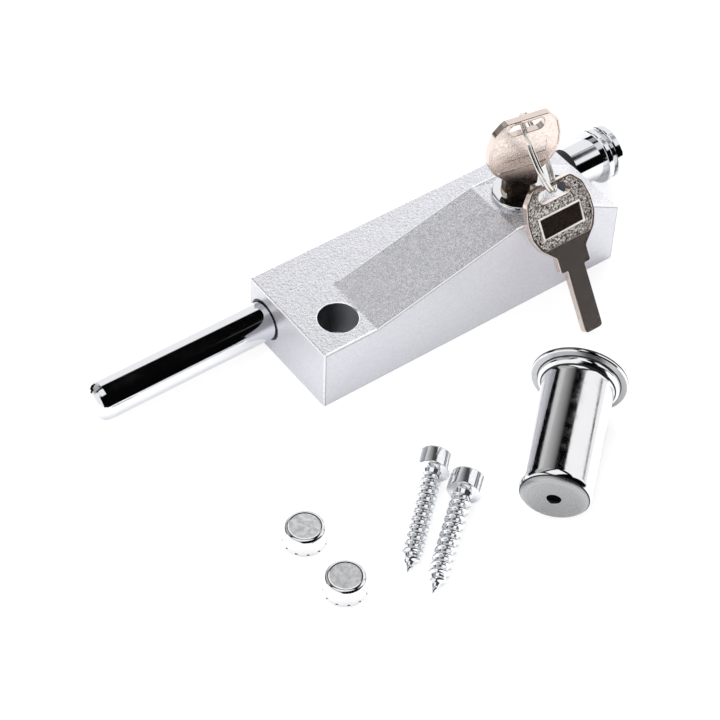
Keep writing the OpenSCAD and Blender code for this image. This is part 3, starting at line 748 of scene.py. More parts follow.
class RoundRecipe(GeometryRecipe):
    """Repeats a shape at even steps round Z."""

    def build(self) -> Node:
        """Points, each with its turn, each with its copy.

        Returns:
            The node of the copies.
        """
        tree, count = self.tree, self.given["Count"]
        step = add(tree, MATH, (math.tau, count), operation="DIVIDE")
        angle = add(tree, MATH, (add(tree, "GeometryNodeInputIndex"), step), operation="MULTIPLY")
        euler = add(tree, "ShaderNodeCombineXYZ", {"Z": angle})
        turn = add(tree, "FunctionNodeEulerToRotation", (euler,))
        return add(tree, "GeometryNodeInstanceOnPoints", {
            "Points": add(tree, "GeometryNodePoints", (count,)),
            "Instance": self.given["Geometry"], "Rotation": turn})


class ThreadRecipe(GeometryRecipe):
    """Makes a wood screw's shank: a grid rolled into a tube whose radius follows a helix."""

    # Where the ridge's crest ends and its foot starts, in pitches from the helix
    crest: float = 0.05
    foot: float = 0.33

    def build(self) -> Node:
        """Rolls the grid; the ridge's phase is height over pitch less the turn.

        Returns:
            The node of the shank.
        """
        give, tree = self.given, self.tree
        grid = add(tree, "GeometryNodeMeshGrid", (1.0, 1.0, give["Sides"], give["Rows"]))
        at = add(tree, "GeometryNodeInputPosition")
        where = add(tree, "ShaderNodeSeparateXYZ", (at,)).outputs
        turn = add(tree, MATH, (where["X"], 0.5), operation="ADD")
        part = add(tree, MATH, (where["Y"], 0.5), operation="ADD")
        height = add(tree, MATH, (part, give["Length"]), operation="MULTIPLY")
        turns = add(tree, MATH, (height, give["Pitch"]), operation="DIVIDE")
        phase = add(tree, MATH, (turns, turn), operation="SUBTRACT")
        saw = add(tree, MATH, (phase,), operation="FRACT")
        off = add(tree, MATH, (saw, 0.5), operation="SUBTRACT")
        away = add(tree, MATH, (off,), operation="ABSOLUTE")
        ridge = add(tree, RANGE, (away, self.crest, self.foot, 1.0, 0.0),
                    interpolation_type="SMOOTHSTEP")
        left = add(tree, MATH, (give["Length"], height), operation="SUBTRACT")
        point = add(tree, RANGE, (left, 0.0, give["Point Length"]))
        start = add(tree, RANGE, (height, give["Plain Length"], give["First Ridge"]))
        deep = add(tree, MATH, (give["Crest Radius"], give["Core Radius"]), operation="SUBTRACT")
        lift = add(tree, MATH, (deep, ridge), operation="MULTIPLY")
        full = add(tree, MATH, (lift, start, give["Core Radius"]), operation="MULTIPLY_ADD")
        radius = add(tree, MATH, (full, point), operation="MULTIPLY")
        angle = add(tree, MATH, (turn, math.tau), operation="MULTIPLY")
        x, y = (add(tree, MATH, (radius, add(tree, MATH, (angle,), operation=way)),
                    operation="MULTIPLY") for way in ("COSINE", "SINE"))
        rolled = add(tree, "ShaderNodeCombineXYZ", (x, y, height))
        tube = add(tree, "GeometryNodeSetPosition", {"Geometry": grid, "Position": rolled})
        return add(tree, "GeometryNodeMergeByDistance", {"Geometry": tube, "Distance": 0.001})


@dataclass
class Studio:
    """Floor, surroundings, lamps and camera of the product photograph."""

    camera_at: Triple = (-264.25, -360.69, 507.67)
    yaw_deg: float = 52.487
    pitch_deg: float = 47.422
    roll_deg: float = -2.194
    lens_mm: float = 115.49
    film_mm: float = 36.0
    # The floor in metres, then its tone for the light, in metal, and how much less for the camera
    floor_half: float = 3.0
    floor_sunk: float = 0.0001
    floor_tone: float = 0.5
    floor_mirrored: float = 0.83
    floor_less: float = -0.24
    # The floor's own glow for the camera and in metal
    glow_seen: float = 0.8
    glow_mirrored: float = 0.12
    # Directions across the foot of the white panels and across the seam between two of them
    sweep: Triple = (0.571, 0.05, -1.0)
    seam: Triple = (-0.287, -0.864, 0.414)
    seam_tone: float = 0.15
    board_shade: float = -0.72
    dark: float = 0.002
    haze: float = 0.44
    ambient: float = 0.62
    # Name, place and size in metres, watts
    soft_lamps: tuple[tuple[str, Triple, float, float], ...] = (
        ("soft key light", (-0.55, -0.32, 0.8), 0.5, 4.4),
        ("soft top light", (0.25, 0.45, 0.95), 0.9, 7.4))

    def build(self) -> None:
        """Makes the whole studio."""
        self.floor()
        self.surroundings()
        self.lamps()
        self.camera()
        bpy.context.scene.view_settings.view_transform = "Standard"

    def floor(self) -> None:
        """Lays a white floor that keeps the object's shadow."""
        ground = bmesh.new()
        bmesh.ops.create_grid(ground, x_segments=1, y_segments=1, size=self.floor_half)
        made = placed("studio_floor", as_mesh("studio_floor", ground))
        made.location.z = -self.floor_sunk
        paint = bpy.data.materials.new("white studio floor")
        tree = emptied(paint)
        ray = add(tree, "ShaderNodeLightPath").outputs
        seen, mirrored = ray["Is Camera Ray"], ray["Is Glossy Ray"]
        plain = add(tree, RANGE, (mirrored, 0.0, 1.0, self.floor_tone, self.floor_mirrored))
        tone = add(tree, MATH, (seen, self.floor_less, plain), operation="MULTIPLY_ADD")
        bright = add(tree, MATH, (seen, self.glow_seen), operation="MULTIPLY")
        glow = add(tree, MATH, (mirrored, self.glow_mirrored, bright), operation="MULTIPLY_ADD")
        both = add(tree, "ShaderNodeAddShader", (
            add(tree, "ShaderNodeBsdfDiffuse", (tone,)),
            add(tree, "ShaderNodeEmission", ((1, 1, 1, 1), glow))))
        add(tree, "ShaderNodeOutputMaterial", {"Surface": both})
        made.data.materials.append(paint)

    def patch(self, tree: Tree, *edges: tuple[Any, float, float], fade: str = "LINEAR") -> Node:
        """Marks a patch of the room.

        Args:
            tree: The world's tree.
            *edges: Coordinates, each with its value just outside the patch and just inside.
            fade: How the edges fade.

        Returns:
            A node that gives 1 inside the patch and 0 outside.
        """
        share: Any = 1.0
        for coordinate, outside, within in edges:
            ramp = add(tree, RANGE, (coordinate, outside, within), interpolation_type=fade)
            share = add(tree, MATH, (share, ramp), operation="MULTIPLY")
        return share

    def surroundings(self) -> None:
        """Paints the room: white panels low and behind, a white card at the left, black above."""
        world = bpy.data.worlds.new("studio")
        bpy.context.scene.world = world
        tree = emptied(world)
        ray = add(tree, "ShaderNodeLightPath").outputs
        way = add(tree, "ShaderNodeTexCoord").outputs["Generated"]
        x, y, z = add(tree, "ShaderNodeSeparateXYZ", (way,)).outputs
        tall, joint = (add(tree, "ShaderNodeVectorMath", (way, across), operation="DOT_PRODUCT")
                       for across in (self.sweep, self.seam))
        apart, beside = (add(tree, MATH, (value,), operation="ABSOLUTE") for value in (joint, y))
        # White panels with a seam, a grey board before them and a dark doorway between them
        white = self.patch(tree, (tall, -0.56, -0.51), (y, -0.6, -0.52), fade="SMOOTHSTEP")
        panels = add(tree, RANGE, (apart, 0.012, 0.03, self.seam_tone, 1.0))
        board = self.patch(tree, (x, 0.28, 0.14), (z, 0.16, 0.26), (y, 0.2, 0.4))
        uncovered = add(tree, MATH, (board, self.board_shade, 1.0), operation="MULTIPLY_ADD")
        door = self.patch(tree, (x, 0.07, 0.01), (y, 0.5, 0.6), (z, 0.42, 0.34))
        wall = add(tree, MATH, (1.0, door), operation="SUBTRACT")
        for factor in (panels, uncovered, wall):
            white = add(tree, MATH, (white, factor), operation="MULTIPLY")
        # A white card at the left and a soft box overhead
        for lit in (self.patch(tree, (x, -0.7, -0.78), fade="SMOOTHSTEP"),
                    self.patch(tree, (x, 0.29, 0.25), (beside, 0.34, 0.29), (z, 0.75, 0.82))):
            white = add(tree, MATH, (white, lit), operation="MAXIMUM")
        # The rest is black, with a haze behind
        behind = self.patch(tree, (x, 0.3, 0.0), (y, 0.42, 0.52))
        hazy = add(tree, MATH, (behind, wall), operation="MULTIPLY")
        gloom = add(tree, MATH, (hazy, self.haze, self.dark), operation="MULTIPLY_ADD")
        tone = add(tree, RANGE, (white, 0.0, 1.0, gloom, 1.0))
        level = add(tree, MATH, (ray["Is Camera Ray"], ray["Is Transmission Ray"]),
                    operation="MAXIMUM")
        for kind, strength in (("Is Glossy Ray", tone), ("Is Diffuse Ray", self.ambient)):
            level = add(tree, MATH, (ray[kind], strength, level), operation="MULTIPLY_ADD")
        sky = add(tree, "ShaderNodeBackground", ((1, 1, 1, 1), level))
        add(tree, "ShaderNodeOutputWorld", (sky,))

    def lamps(self) -> None:
        """Hangs two large soft lamps, which no metal mirrors."""
        for name, at, size, watts in self.soft_lamps:
            lamp = bpy.data.lights.new(name, "AREA")
            lamp.shape, lamp.size, lamp.energy = "DISK", size, watts
            made = placed(name, lamp)
            made.location = at
            made.rotation_euler = (-Vector(at)).to_track_quat("-Z", "Y").to_euler()
            made.visible_glossy = False

    def camera(self) -> None:
        """Stands the camera where the photograph was taken from."""
        yaw, pitch, roll = (math.radians(v) for v in (self.yaw_deg, self.pitch_deg, self.roll_deg))
        flat = Vector((math.cos(yaw), math.sin(yaw), 0.0)) * math.cos(pitch)
        ahead = flat - Vector((0.0, 0.0, math.sin(pitch)))
        level = Vector((math.sin(yaw), -math.cos(yaw), 0.0))
        sunk = ahead.cross(level)
        right = level * math.cos(roll) + sunk * math.sin(roll)
        down = sunk * math.cos(roll) - level * math.sin(roll)
        lens = bpy.data.cameras.new("photograph")
        lens.lens, lens.sensor_width, lens.clip_start = self.lens_mm, self.film_mm, 0.01
        made = placed("photograph", lens)
        aim = Matrix((right, -down, -ahead)).transposed().to_4x4()
        made.matrix_world = Matrix.Translation(ROW @ Vector(self.camera_at)) @ aim
        bpy.context.scene.camera = made


class Coat(IntEnum):
    """The casting's finishes, by their material numbers."""

    SILVER, BARE, RUBBED, THIN, SIDE = range(5)


@dataclass
class BodyCasting:
    """The wedge-shaped zinc casting, with its eased edges and its two screw recesses."""

    bevel_mm: float = 0.6
    rim_mm: float = 0.25
    length: float = 110.0
    width: float = 38.5
    slab_h: float = 22.0
    wedge_w: float = 22.5
    crest_h: float = 34.5
    holes: tuple[Point, ...] = ((12.0, 10.4), (98.0, 10.4))
    recess_r: float = 6.1
    # Two places this close are one; folds flatter than these aren't edges
    near: float = 0.01
    fold_deg: float = 18.0
    rim_fold_deg: float = 45.0

    def build(self) -> None:
        """Dresses a copy of the CAD casting, with rounded edges and painted shade and highlights.
        """
        solid = bmesh.new()
        solid.from_mesh(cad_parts["body_casting"].data)
        bmesh.ops.remove_doubles(solid, verts=solid.verts, dist=1e-6)
        bmesh.ops.dissolve_limit(solid, angle_limit=math.radians(1.0), verts=solid.verts,
                                 edges=solid.edges)
        solid.transform(ROW.inverted())
        for test, width, steps in ((self.outer, self.bevel_mm, 4), (self.rim, self.rim_mm, 2)):
            bmesh.ops.bevel(solid, geom=[e for e in solid.edges if test(e)], offset=width,
                            offset_type="OFFSET", segments=steps, profile=0.5, affect="EDGES",
                            clamp_overlap=False)
        for face in solid.faces:
            face.material_index = self.coat_of(face.calc_center_median(), face.normal)
        made = piece("body_casting_coated", solid, (
            SILVER_COAT, BARE_CASTING, RUBBED_COAT, DARK_LINE_COAT, SIDE_COAT), sharp_deg=28)
        hand_over(made, "body", "body_casting")

    def outer(self, edge: bmesh.types.BMEdge) -> bool:
        """Tells whether an edge is a straight outer corner, or the wedge's far side or crest.

        Args:
            edge: The edge.

        Returns:
            Whether it is.
        """
        if (len(edge.link_faces) != 2 or not edge.is_convex
                or edge.calc_face_angle() < math.radians(self.fold_deg)):
            return False
        (x0, y0, z0), (x1, y1, z1) = (v.co for v in edge.verts)
        at_end = all(min(abs(x), abs(x - self.length)) < self.near for x in (x0, x1))
        at_side = all(min(abs(y), abs(y - self.width)) < self.near for y in (y0, y1))
        wedge = (abs(y0 - self.wedge_w) + abs(y1 - self.wedge_w) < self.near
                 and max(z0, z1) > self.slab_h + 0.1)
        crest = (min(z0, z1) > self.crest_h - self.near and abs(x0 - x1) < self.near
                 and abs(y0 - y1) > self.wedge_w / 3)
        high = min(z0, z1) > self.slab_h - self.near
        return at_end and at_side or high and (at_end or at_side or wedge or crest)

    def rim(self, edge: bmesh.types.BMEdge) -> bool:
        """Tells whether an edge is on the upper rim of a screw recess.

        Args:
            edge: The edge.

        Returns:
            Whether it is.
        """
        return edge.calc_face_angle(0) > math.radians(self.rim_fold_deg) and any(
            all(abs(math.hypot(v.co.x - x, v.co.y - y) - self.recess_r) < 2 * self.near
                and v.co.z > self.slab_h - self.near for v in edge.verts) for x, y in self.holes)

    def coat_of(self, at: Vector, normal: Vector) -> Coat:
        """Chooses a face's finish, by where it is and which way it faces.

        Args:
            at: The middle of the face.
            normal: Its direction.

        Returns:
            Its finish.
        """
        wall = abs(normal.z) < 0.3
        by_hole = any(math.hypot(at.x - x, at.y - y) < self.recess_r + self.near
                      for x, y in self.holes)
        # In the screw recesses: painted shade on the walls, and a painted highlight lighting the
        # ledges
        if by_hole and (wall or at.z < self.slab_h - 1):
            return Coat.BARE if wall else Coat.RUBBED
        # What is neither square to an axis nor on the ramps is on a rounded edge
        flat = max(abs(v) for v in normal) > 0.995 or abs(normal.y) < 0.01 and abs(normal.z) > 0.8
        # Rounded edges: a painted highlight, and a thin dark line of painted shade on strips facing
        # -Y or leaning forward
        if not flat and at.z > 0.2:
            dark_strip = normal.y < -0.9 or normal.x < -0.1 and normal.z > 0.93
            return Coat.THIN if dark_strip else Coat.RUBBED
        return Coat.SIDE if wall else Coat.SILVER


class Side(IntEnum):
    """The two faces of a key, by the sign of its thickness axis."""

    FRONT = 1
    BACK = -1


class KeyMetal(IntEnum):
    """A key's finishes, by their material numbers."""

    PLAIN, CAST, SUNK, BRIGHT, WORN = range(5)


@dataclass
class Key:
    """A key blank's dressed form: raised rims round a sunk, grainy field, and a plain blade."""

    name: str
    body: str
    place: Matrix
    metal: Finish = NICKEL_SILVER
    # Half of the bow from its top, with the radius at each corner
    bow_half: tuple[Point, ...] = (
        (7.2, 0), (10.6, 3.6), (11.9, 9), (11.9, 14), (10.1, 18), (5.6, 22.4))
    bow_round: tuple[float, ...] = (2.2, 4, 6, 6, 4, 1.2)
    shoulder_half: float = 5.6
    bow_l: float = 27.4
    blade_half: float = 3.3
    key_l: float = 48.0
    # Radii at the neck, at its step to the blade and at the blade's end
    neck_round: tuple[float, ...] = (1.0, 0.3, 1.4)
    half_t: float = 1.2
    # How wide and deep the edges are eased, and how wide a sunk field's wall is
    ease_w: float = 0.14
    ease_z: float = 0.16
    wall_w: float = 0.2
    rim: float = 0.55
    field_depth: float = 0.38
    field_half: float = 8.9
    field_end: float = 19.4
    slot_half: float = 5.9
    slot: Point = (1.3, 5.3)
    slot_border: float = 0.28
    border_wall: float = 0.18
    border_low: float = 0.04
    panel: Triple = (14.7, 5.8, 12.2)
    panel_depth: float = 0.5
    back_panel_depth: float = 0.14
    frame_w: float = 0.5
    frame_ease: float = 0.12
    frame_low: float = 0.06

    def outline(self) -> list[Point]:
        """Gives the key's outline, anticlockwise from the bow's top.

        Returns:
            Its points.
        """
        right = [*((x, -y) for x, y in self.bow_half), (self.shoulder_half, -self.bow_l),
                 (self.blade_half, -self.bow_l), (self.blade_half, -self.key_l)]
        radii = [*self.bow_round, *self.neck_round]
        loop = eased([(0.0, 0.0), *right, *((-x, y) for x, y in reversed(right)), (0.0, 0.0)],
                     [0, *radii, *reversed(radii), 0])
        return without_repeats(loop)[::-1]

    def field(self) -> list[Point]:
        """Gives the sunk field's outline: the bow's, moved in and cut off above the neck.

        Returns:
            Its points.
        """
        bow = [(x, -y) for x, y in self.bow_half[:4]]
        end = [(self.field_half, -self.field_end), (0.0, -self.field_end)]
        half = eased([(0.0, 0.0), *bow, *end], [0, *self.bow_round[:4], self.bow_round[0], 0])
        loop = half + [(-x, y) for x, y in reversed(half)]
        return inset(without_repeats(loop)[::-1], self.rim)

    def slot_loop(self, out: float) -> list[Point]:
        """Gives the ring slot's outline, moved out by a distance.

        Args:
            out: The distance.

        Returns:
            Its points.
        """
        top, bottom = self.slot
        half, mid = (bottom - top) / 2, -(top + bottom) / 2
        r, reach = half + out, self.slot_half - half
        turns = [math.pi * k / 14 for k in range(15)]
        right = [(reach + r * math.sin(t), mid - r * math.cos(t)) for t in turns]
        return right + [(-x, 2 * mid - y) for x, y in right]

    def panel_loop(self, out: float) -> list[Point]:
        """Gives the sunk panel's outline, moved out by a distance."""
        x, y, mid = self.panel[0] / 2 + out, self.panel[1] / 2 + out, -self.panel[2]
        return [(-x, mid - y), (x, mid - y), (x, mid + y), (-x, mid + y)]

    def levels(self, side: Side) -> list[tuple[list[Point], float]]:
        """Gives each contour of a face with its height above the key's middle.

        Args:
            side: Which face.

        Returns:
            The contours and their heights.
        """
        top, floor = self.half_t, self.half_t - self.field_depth
        line, field, half = self.outline(), self.field(), self.wall_w / 2
        shared = [
            (line, top - self.ease_z), (inset(line, self.ease_w), top),
            (field, top), (inset(field, self.wall_w), floor),
            (self.slot_loop(self.slot_border + self.border_wall), floor),
            (self.slot_loop(self.slot_border), top - self.border_low),
            (self.slot_loop(self.ease_w), top - self.border_low),
            (self.slot_loop(0.0), top - self.ease_z)]
        if side is Side.BACK:
            return shared + [(self.panel_loop(half), floor),
                             (self.panel_loop(-half), floor - self.back_panel_depth)]
        return shared + [
            (self.panel_loop(self.frame_w + half), floor),
            (self.panel_loop(self.frame_w - self.frame_ease), top - self.frame_low),
            (self.panel_loop(self.frame_ease), top - self.frame_low),
            (self.panel_loop(-half), top - self.panel_depth)]

    def face(self, side: Side) -> Solid:
        """Makes one face of the key from its contours.

        Args:
            side: Which face.

        Returns:
            The face, with its field and panel numbered as their own materials.
        """
        points: list[Vector] = []
        heights: list[float] = []
        edges: list[tuple[int, int]] = []
        for loop, height in self.levels(side):
            first = len(points)
            points += [Vector(p) for p in loop]
            heights += [height] * len(loop)
            edges += [(first + k, first + (k + 1) % len(loop)) for k in range(len(loop))]
        flat, _, faces, origin, _, _ = delaunay_2d_cdt(points, edges, [], 0, 1e-5)
        outline, hole = self.outline(), self.slot_loop(0.0)
        field = inset(self.field(), self.wall_w / 2)
        border = self.slot_loop(self.slot_border + self.border_wall / 2)
        frame_out, frame_in = self.panel_loop(self.frame_w + 0.08), self.panel_loop(0.02)
        solid = bmesh.new()
        verts = [solid.verts.new((p.x, p.y, side * (heights[ids[0]] if ids else self.half_t)))
                 for p, ids in zip(flat, origin)]
        for corners in faces:
            mid = sum((flat[i] for i in corners), Vector((0, 0))) / len(corners)
            if not inside(mid, outline) or inside(mid, hole):
                continue
            metal = KeyMetal.PLAIN
            if inside(mid, field) and not inside(mid, border):
                metal = KeyMetal.BRIGHT if side is Side.BACK else KeyMetal.CAST
            if side is Side.FRONT and inside(mid, frame_out):
                metal = KeyMetal.SUNK if inside(mid, frame_in) else KeyMetal.WORN
            solid.faces.new([verts[i] for i in corners]).material_index = metal
        return solid

    def walls(self) -> Solid:
        """Makes the key's edge and the slot's wall.

        Returns:
            The two walls.
        """
        solid = bmesh.new()
        for loop in (self.outline(), self.slot_loop(0.0)):
            skin(solid, *([solid.verts.new((x, y, side * (self.half_t - self.ease_z)))
                           for x, y in loop] for side in Side))
        return solid

    def build(self) -> None:
        """Joins the faces and walls into the key and hands it to its body."""
        solid = joined(self.face(Side.FRONT), self.face(Side.BACK), self.walls())
        bmesh.ops.remove_doubles(solid, verts=solid.verts, dist=1e-4)
        made = piece(f"{self.name}_stamped", solid, (
            self.metal, CAST_FIELD, SUNK_PANEL, BRIGHT_FIELD, WORN_FRAME), self.place)
        hand_over(made, self.body, self.name)


@dataclass
class SplitRing:
    """The wire ring through both keys: two turns of spring wire that step where they cross over."""

    centre: Triple = (82.6719, 9.3705, 51.2843)
    tilt_deg: float = 64.6
    turn_deg: float = -29.8
    radius: float = 12.45
    wire_r: float = 0.49
    pitch: float = 0.94
    step_at_deg: float = 205.0
    step_deg: float = 26.0
    gap_deg: float = 9.0
    steps: int = 360
    sides: int = 20

    def path(self) -> Solid:
        """Draws the wire's double turn, with the step in its middle.

        Returns:
            The path.
        """
        path = bmesh.new()
        verts = []
        for k in range(self.steps + 1):
            along = self.gap_deg + (720 - 2 * self.gap_deg) * k / self.steps
            part = min(1.0, max(0.0, (along - 360 + self.step_deg / 2) / self.step_deg))
            height = self.pitch * (part * part * (3 - 2 * part) - 0.5)
            angle = math.radians(self.step_at_deg + along)
            verts.append(path.verts.new((
                self.radius * math.cos(angle), self.radius * math.sin(angle), height)))
        for ends in zip(verts, verts[1:]):
            path.edges.new(ends)
        return path

    def build(self) -> None:
        """Sweeps the wire along its double turn."""
        wire = WireRecipe("ring wire", {
            "Wire Radius": self.wire_r, "Sides": self.sides, "Finish": NICKELLED_WIRE.build()})
        place = (Matrix.Translation(self.centre) @ spun(self.turn_deg, "Z")
                 @ spun(self.tilt_deg, "Y"))
        made = piece("split_ring_wound", wire.run(self.path()), (NICKELLED_WIRE,), place)
        hand_over(made, "ring", "key_ring")


class SleevePlate(IntEnum):
    """The sleeve's finishes, by their material numbers."""

    DRAWN, BRUSHED, BARE, DULL = range(4)


@dataclass
class ReceiverSleeve:
    """The deep-drawn cup that takes the bolt's end, with its stepped, rolled flange."""

    at: Point = (27.5, -71.4)
    turn_deg: float = 41.2
    radius: float = 10.6
    wall: float = 0.9
    end_r: float = 3.0
    length: float = 43.5
    flange_r: float = 14.3
    bead_r: float = 12.05
    hole_r: float = 2.1
    # Heights between which thin dark lines of painted shade lie, on the wall's foot and the bead
    thin: tuple[Point, ...] = ((39.4, 39.95), (41.5, 41.8))
    # Above rim_from the flange's outer rim is painted shade; below back_to its back is dull plate
    rim_from: float = 42.65
    back_to: float = 41.92

    def section(self) -> list[Point]:
        """Gives the wall's section, outside and then inside, by radius and height.

        Returns:
            Its points.
        """
        r, f, b, t, e = self.radius, self.flange_r, self.bead_r, self.wall, self.end_r
        quarter = [math.radians(a) for a in range(0, 91, 9)]
        return [
            (self.hole_r, 0.12), (self.hole_r + 0.15, 0.0), (r - e - 0.3, 0.0),
            *((r - e + e * math.sin(a), e - e * math.cos(a)) for a in quarter),
            (r, 38.4), (r, 39.0), (r + 0.12, 39.5), (r + 0.5, 39.95),
            (b - 0.55, 40.3), (b - 0.15, 40.6), (b, 41.05), (b, 41.5), (b + 0.08, 41.72),
            (b + 0.3, 41.85), (f - 0.9, 41.85), (f - 0.35, 41.95), (f - 0.06, 42.25), (f, 42.6),
            (f, 42.9), (f - 0.12, 43.25), (f - 0.4, 43.47), (f - 0.75, self.length),
            (f - 1.2, 43.42), (f - 1.5, 43.0), (b + 0.1, 42.9), (b - t, 42.6), (b - t, 41.5),
            (b - 0.5 - t, 40.9), (r - t + 0.1, 40.1), (r - t, 39.7),
            *((r - e + (e - t) * math.cos(a), e - (e - t) * math.sin(a)) for a in quarter),
            (self.hole_r + 0.1, t), (self.hole_r, t - 0.1)]

    def plate_of(self, at: Vector, normal: Vector) -> SleevePlate:
        """Chooses a face's finish.

        Args:
            at: The middle of the face.
            normal: Its direction.

        Returns:
            Its finish.
        """
        out = math.hypot(at.x, at.y)
        if at.z < self.end_r * 0.3 and normal.z < -0.4:
            return SleevePlate.BRUSHED
        # Painted shade inside the cup and its hole, in thin lines outside, and on the flange's rim
        if (at.z < self.length - 5 and out < self.radius - self.wall * 0.6
                and (at.z > self.wall * 0.6 or out < self.hole_r + 0.1)):
            return SleevePlate.BARE
        if out > self.radius + 0.05 and any(low < at.z < high for low, high in self.thin):
            return SleevePlate.BARE
        if at.z > self.rim_from and out > self.flange_r - 0.1:
            return SleevePlate.BARE
        back = out > self.bead_r + 0.3 and at.z < self.back_to
        return SleevePlate.DULL if back else SleevePlate.DRAWN

    def build(self) -> None:
        """Turns the cup and lays it on its flange and its closed end's edge."""
        lean = math.asin((self.flange_r - self.radius) / (self.length - self.end_r))
        cup = lathe(self.section(), 160, closed=True)
        bmesh.ops.recalc_face_normals(cup, faces=cup.faces)
        for face in cup.faces:
            face.material_index = self.plate_of(face.calc_center_median(), face.normal)
        height = self.radius / math.cos(lean) - self.end_r * math.tan(lean)
        place = (Matrix.Translation((*self.at, height)) @ spun(self.turn_deg, "Z")
                 @ spun(90 - math.degrees(lean), "Y"))
        axis = ROW @ place
        # The closed end is brushed on the lathe, which leaves fine rings round the sleeve's axis
        brushed = Turned("lathe-brushed nickel plate", "#AEAFB0", 1.0, 0.3,
                         centre=tuple(axis.translation), turn=tuple(axis.to_euler()))
        made = piece("receiver_sleeve_drawn", cup, (
            DRAWN_CHROME, brushed, SHADE_STEEL, DULL_PLATE), place)
        hand_over(made, "body", "receiver_sleeve")


@dataclass
class MountingScrews:
    """The two hexagon-socket wood screws that lie by the body."""

    # Where each head's end lies, and the way that its screw points
    places: tuple[Triple, ...] = ((13.1, -36.8, -138.2), (15.9, -48.2, -141.3))
    lean_deg: float = 3.78837
    screw_r: float = 3.15
    head_r: float = 5.0
    head_h: float = 6.0
    length: float = 35.0
    socket_w: float = 5.0
    socket_depth: float = 3.0
    # The rings of its chamfer: how much wider than the socket, and how deep
    chamfer: tuple[Point, ...] = ((0.22, 0.0), (0.0, 0.24))
    drilled: float = 0.7
    shank_from: float = 1.4
    point_l: float = 5.5
    thread_depth: float = 0.92
    crest_off: float = 0.05
    pitch: float = 2.7
    plain_l: float = 0.3
    first_ridge: float = 0.55
    sides: int = 96
    thread_sides: int = 49
    thread_rows: int = 560

    def head(self) -> Solid:
        """Makes the cylindrical head with its hexagonal socket, and the cone under it.

        Returns:
            The head.
        """
        r, h = self.head_r, self.head_h
        head = lathe([
            (r - 0.62, 0.0), (r - 0.3, 0.08), (r - 0.1, 0.28), (r, 0.6), (r, h - 0.35),
            (r - 0.12, h - 0.08), (r - 0.45, h), (self.screw_r - 0.3, h + 0.5),
            (self.screw_r - 0.75, h + 1.7)], self.sides)
        head.verts.ensure_lookup_table()
        ring = [head.verts[k] for k in range(self.sides)]
        for wider, deep in (*self.chamfer, (0.0, self.socket_depth)):
            low, ring = ring, []
            for turn in (math.tau * k / self.sides for k in range(self.sides)):
                off = (turn + math.pi / 6) % (math.pi / 3) - math.pi / 6
                reach = (self.socket_w / 2 + wider) / math.cos(off)
                ring.append(head.verts.new((reach * math.cos(turn), reach * math.sin(turn), deep)))
            skin(head, low, ring)
        skin(head, ring, [head.verts.new((0, 0, self.socket_depth + self.drilled))])
        return head

    def build(self) -> None:
        """Makes one screw by its recipe, and lays down two of it."""
        lean = math.radians(self.lean_deg)
        height = self.head_r * math.cos(lean) + (self.head_h + 0.1) * math.sin(lean)
        screws = []
        for x, y, way in self.places:
            thread = ThreadRecipe("screw thread", {
                "Length": self.length - self.shank_from, "Point Length": self.point_l,
                "Core Radius": self.screw_r - self.thread_depth,
                "Crest Radius": self.screw_r - self.crest_off, "Pitch": self.pitch,
                "Plain Length": self.plain_l, "First Ridge": self.first_ridge,
                "Sides": self.thread_sides, "Rows": self.thread_rows,
                "Finish": ZINC_PLATE.build()}).run()
            thread.transform(Matrix.Translation((0, 0, self.head_h + self.shank_from)))
            screw = joined(self.head(), thread)
            screw.transform(Matrix.Translation((x, y, height)) @ spun(way, "Z")
                            @ spun(90 + self.lean_deg, "Y"))
            screws.append(screw)
        made = piece("mounting_screws_threaded", joined(*screws), (ZINC_PLATE,))
        hand_over(made, "body", "mounting_screws")


class CapPlate(IntEnum):
    """The caps' finishes, by their material numbers."""

    DRAWN, SATIN, BARE = range(3)


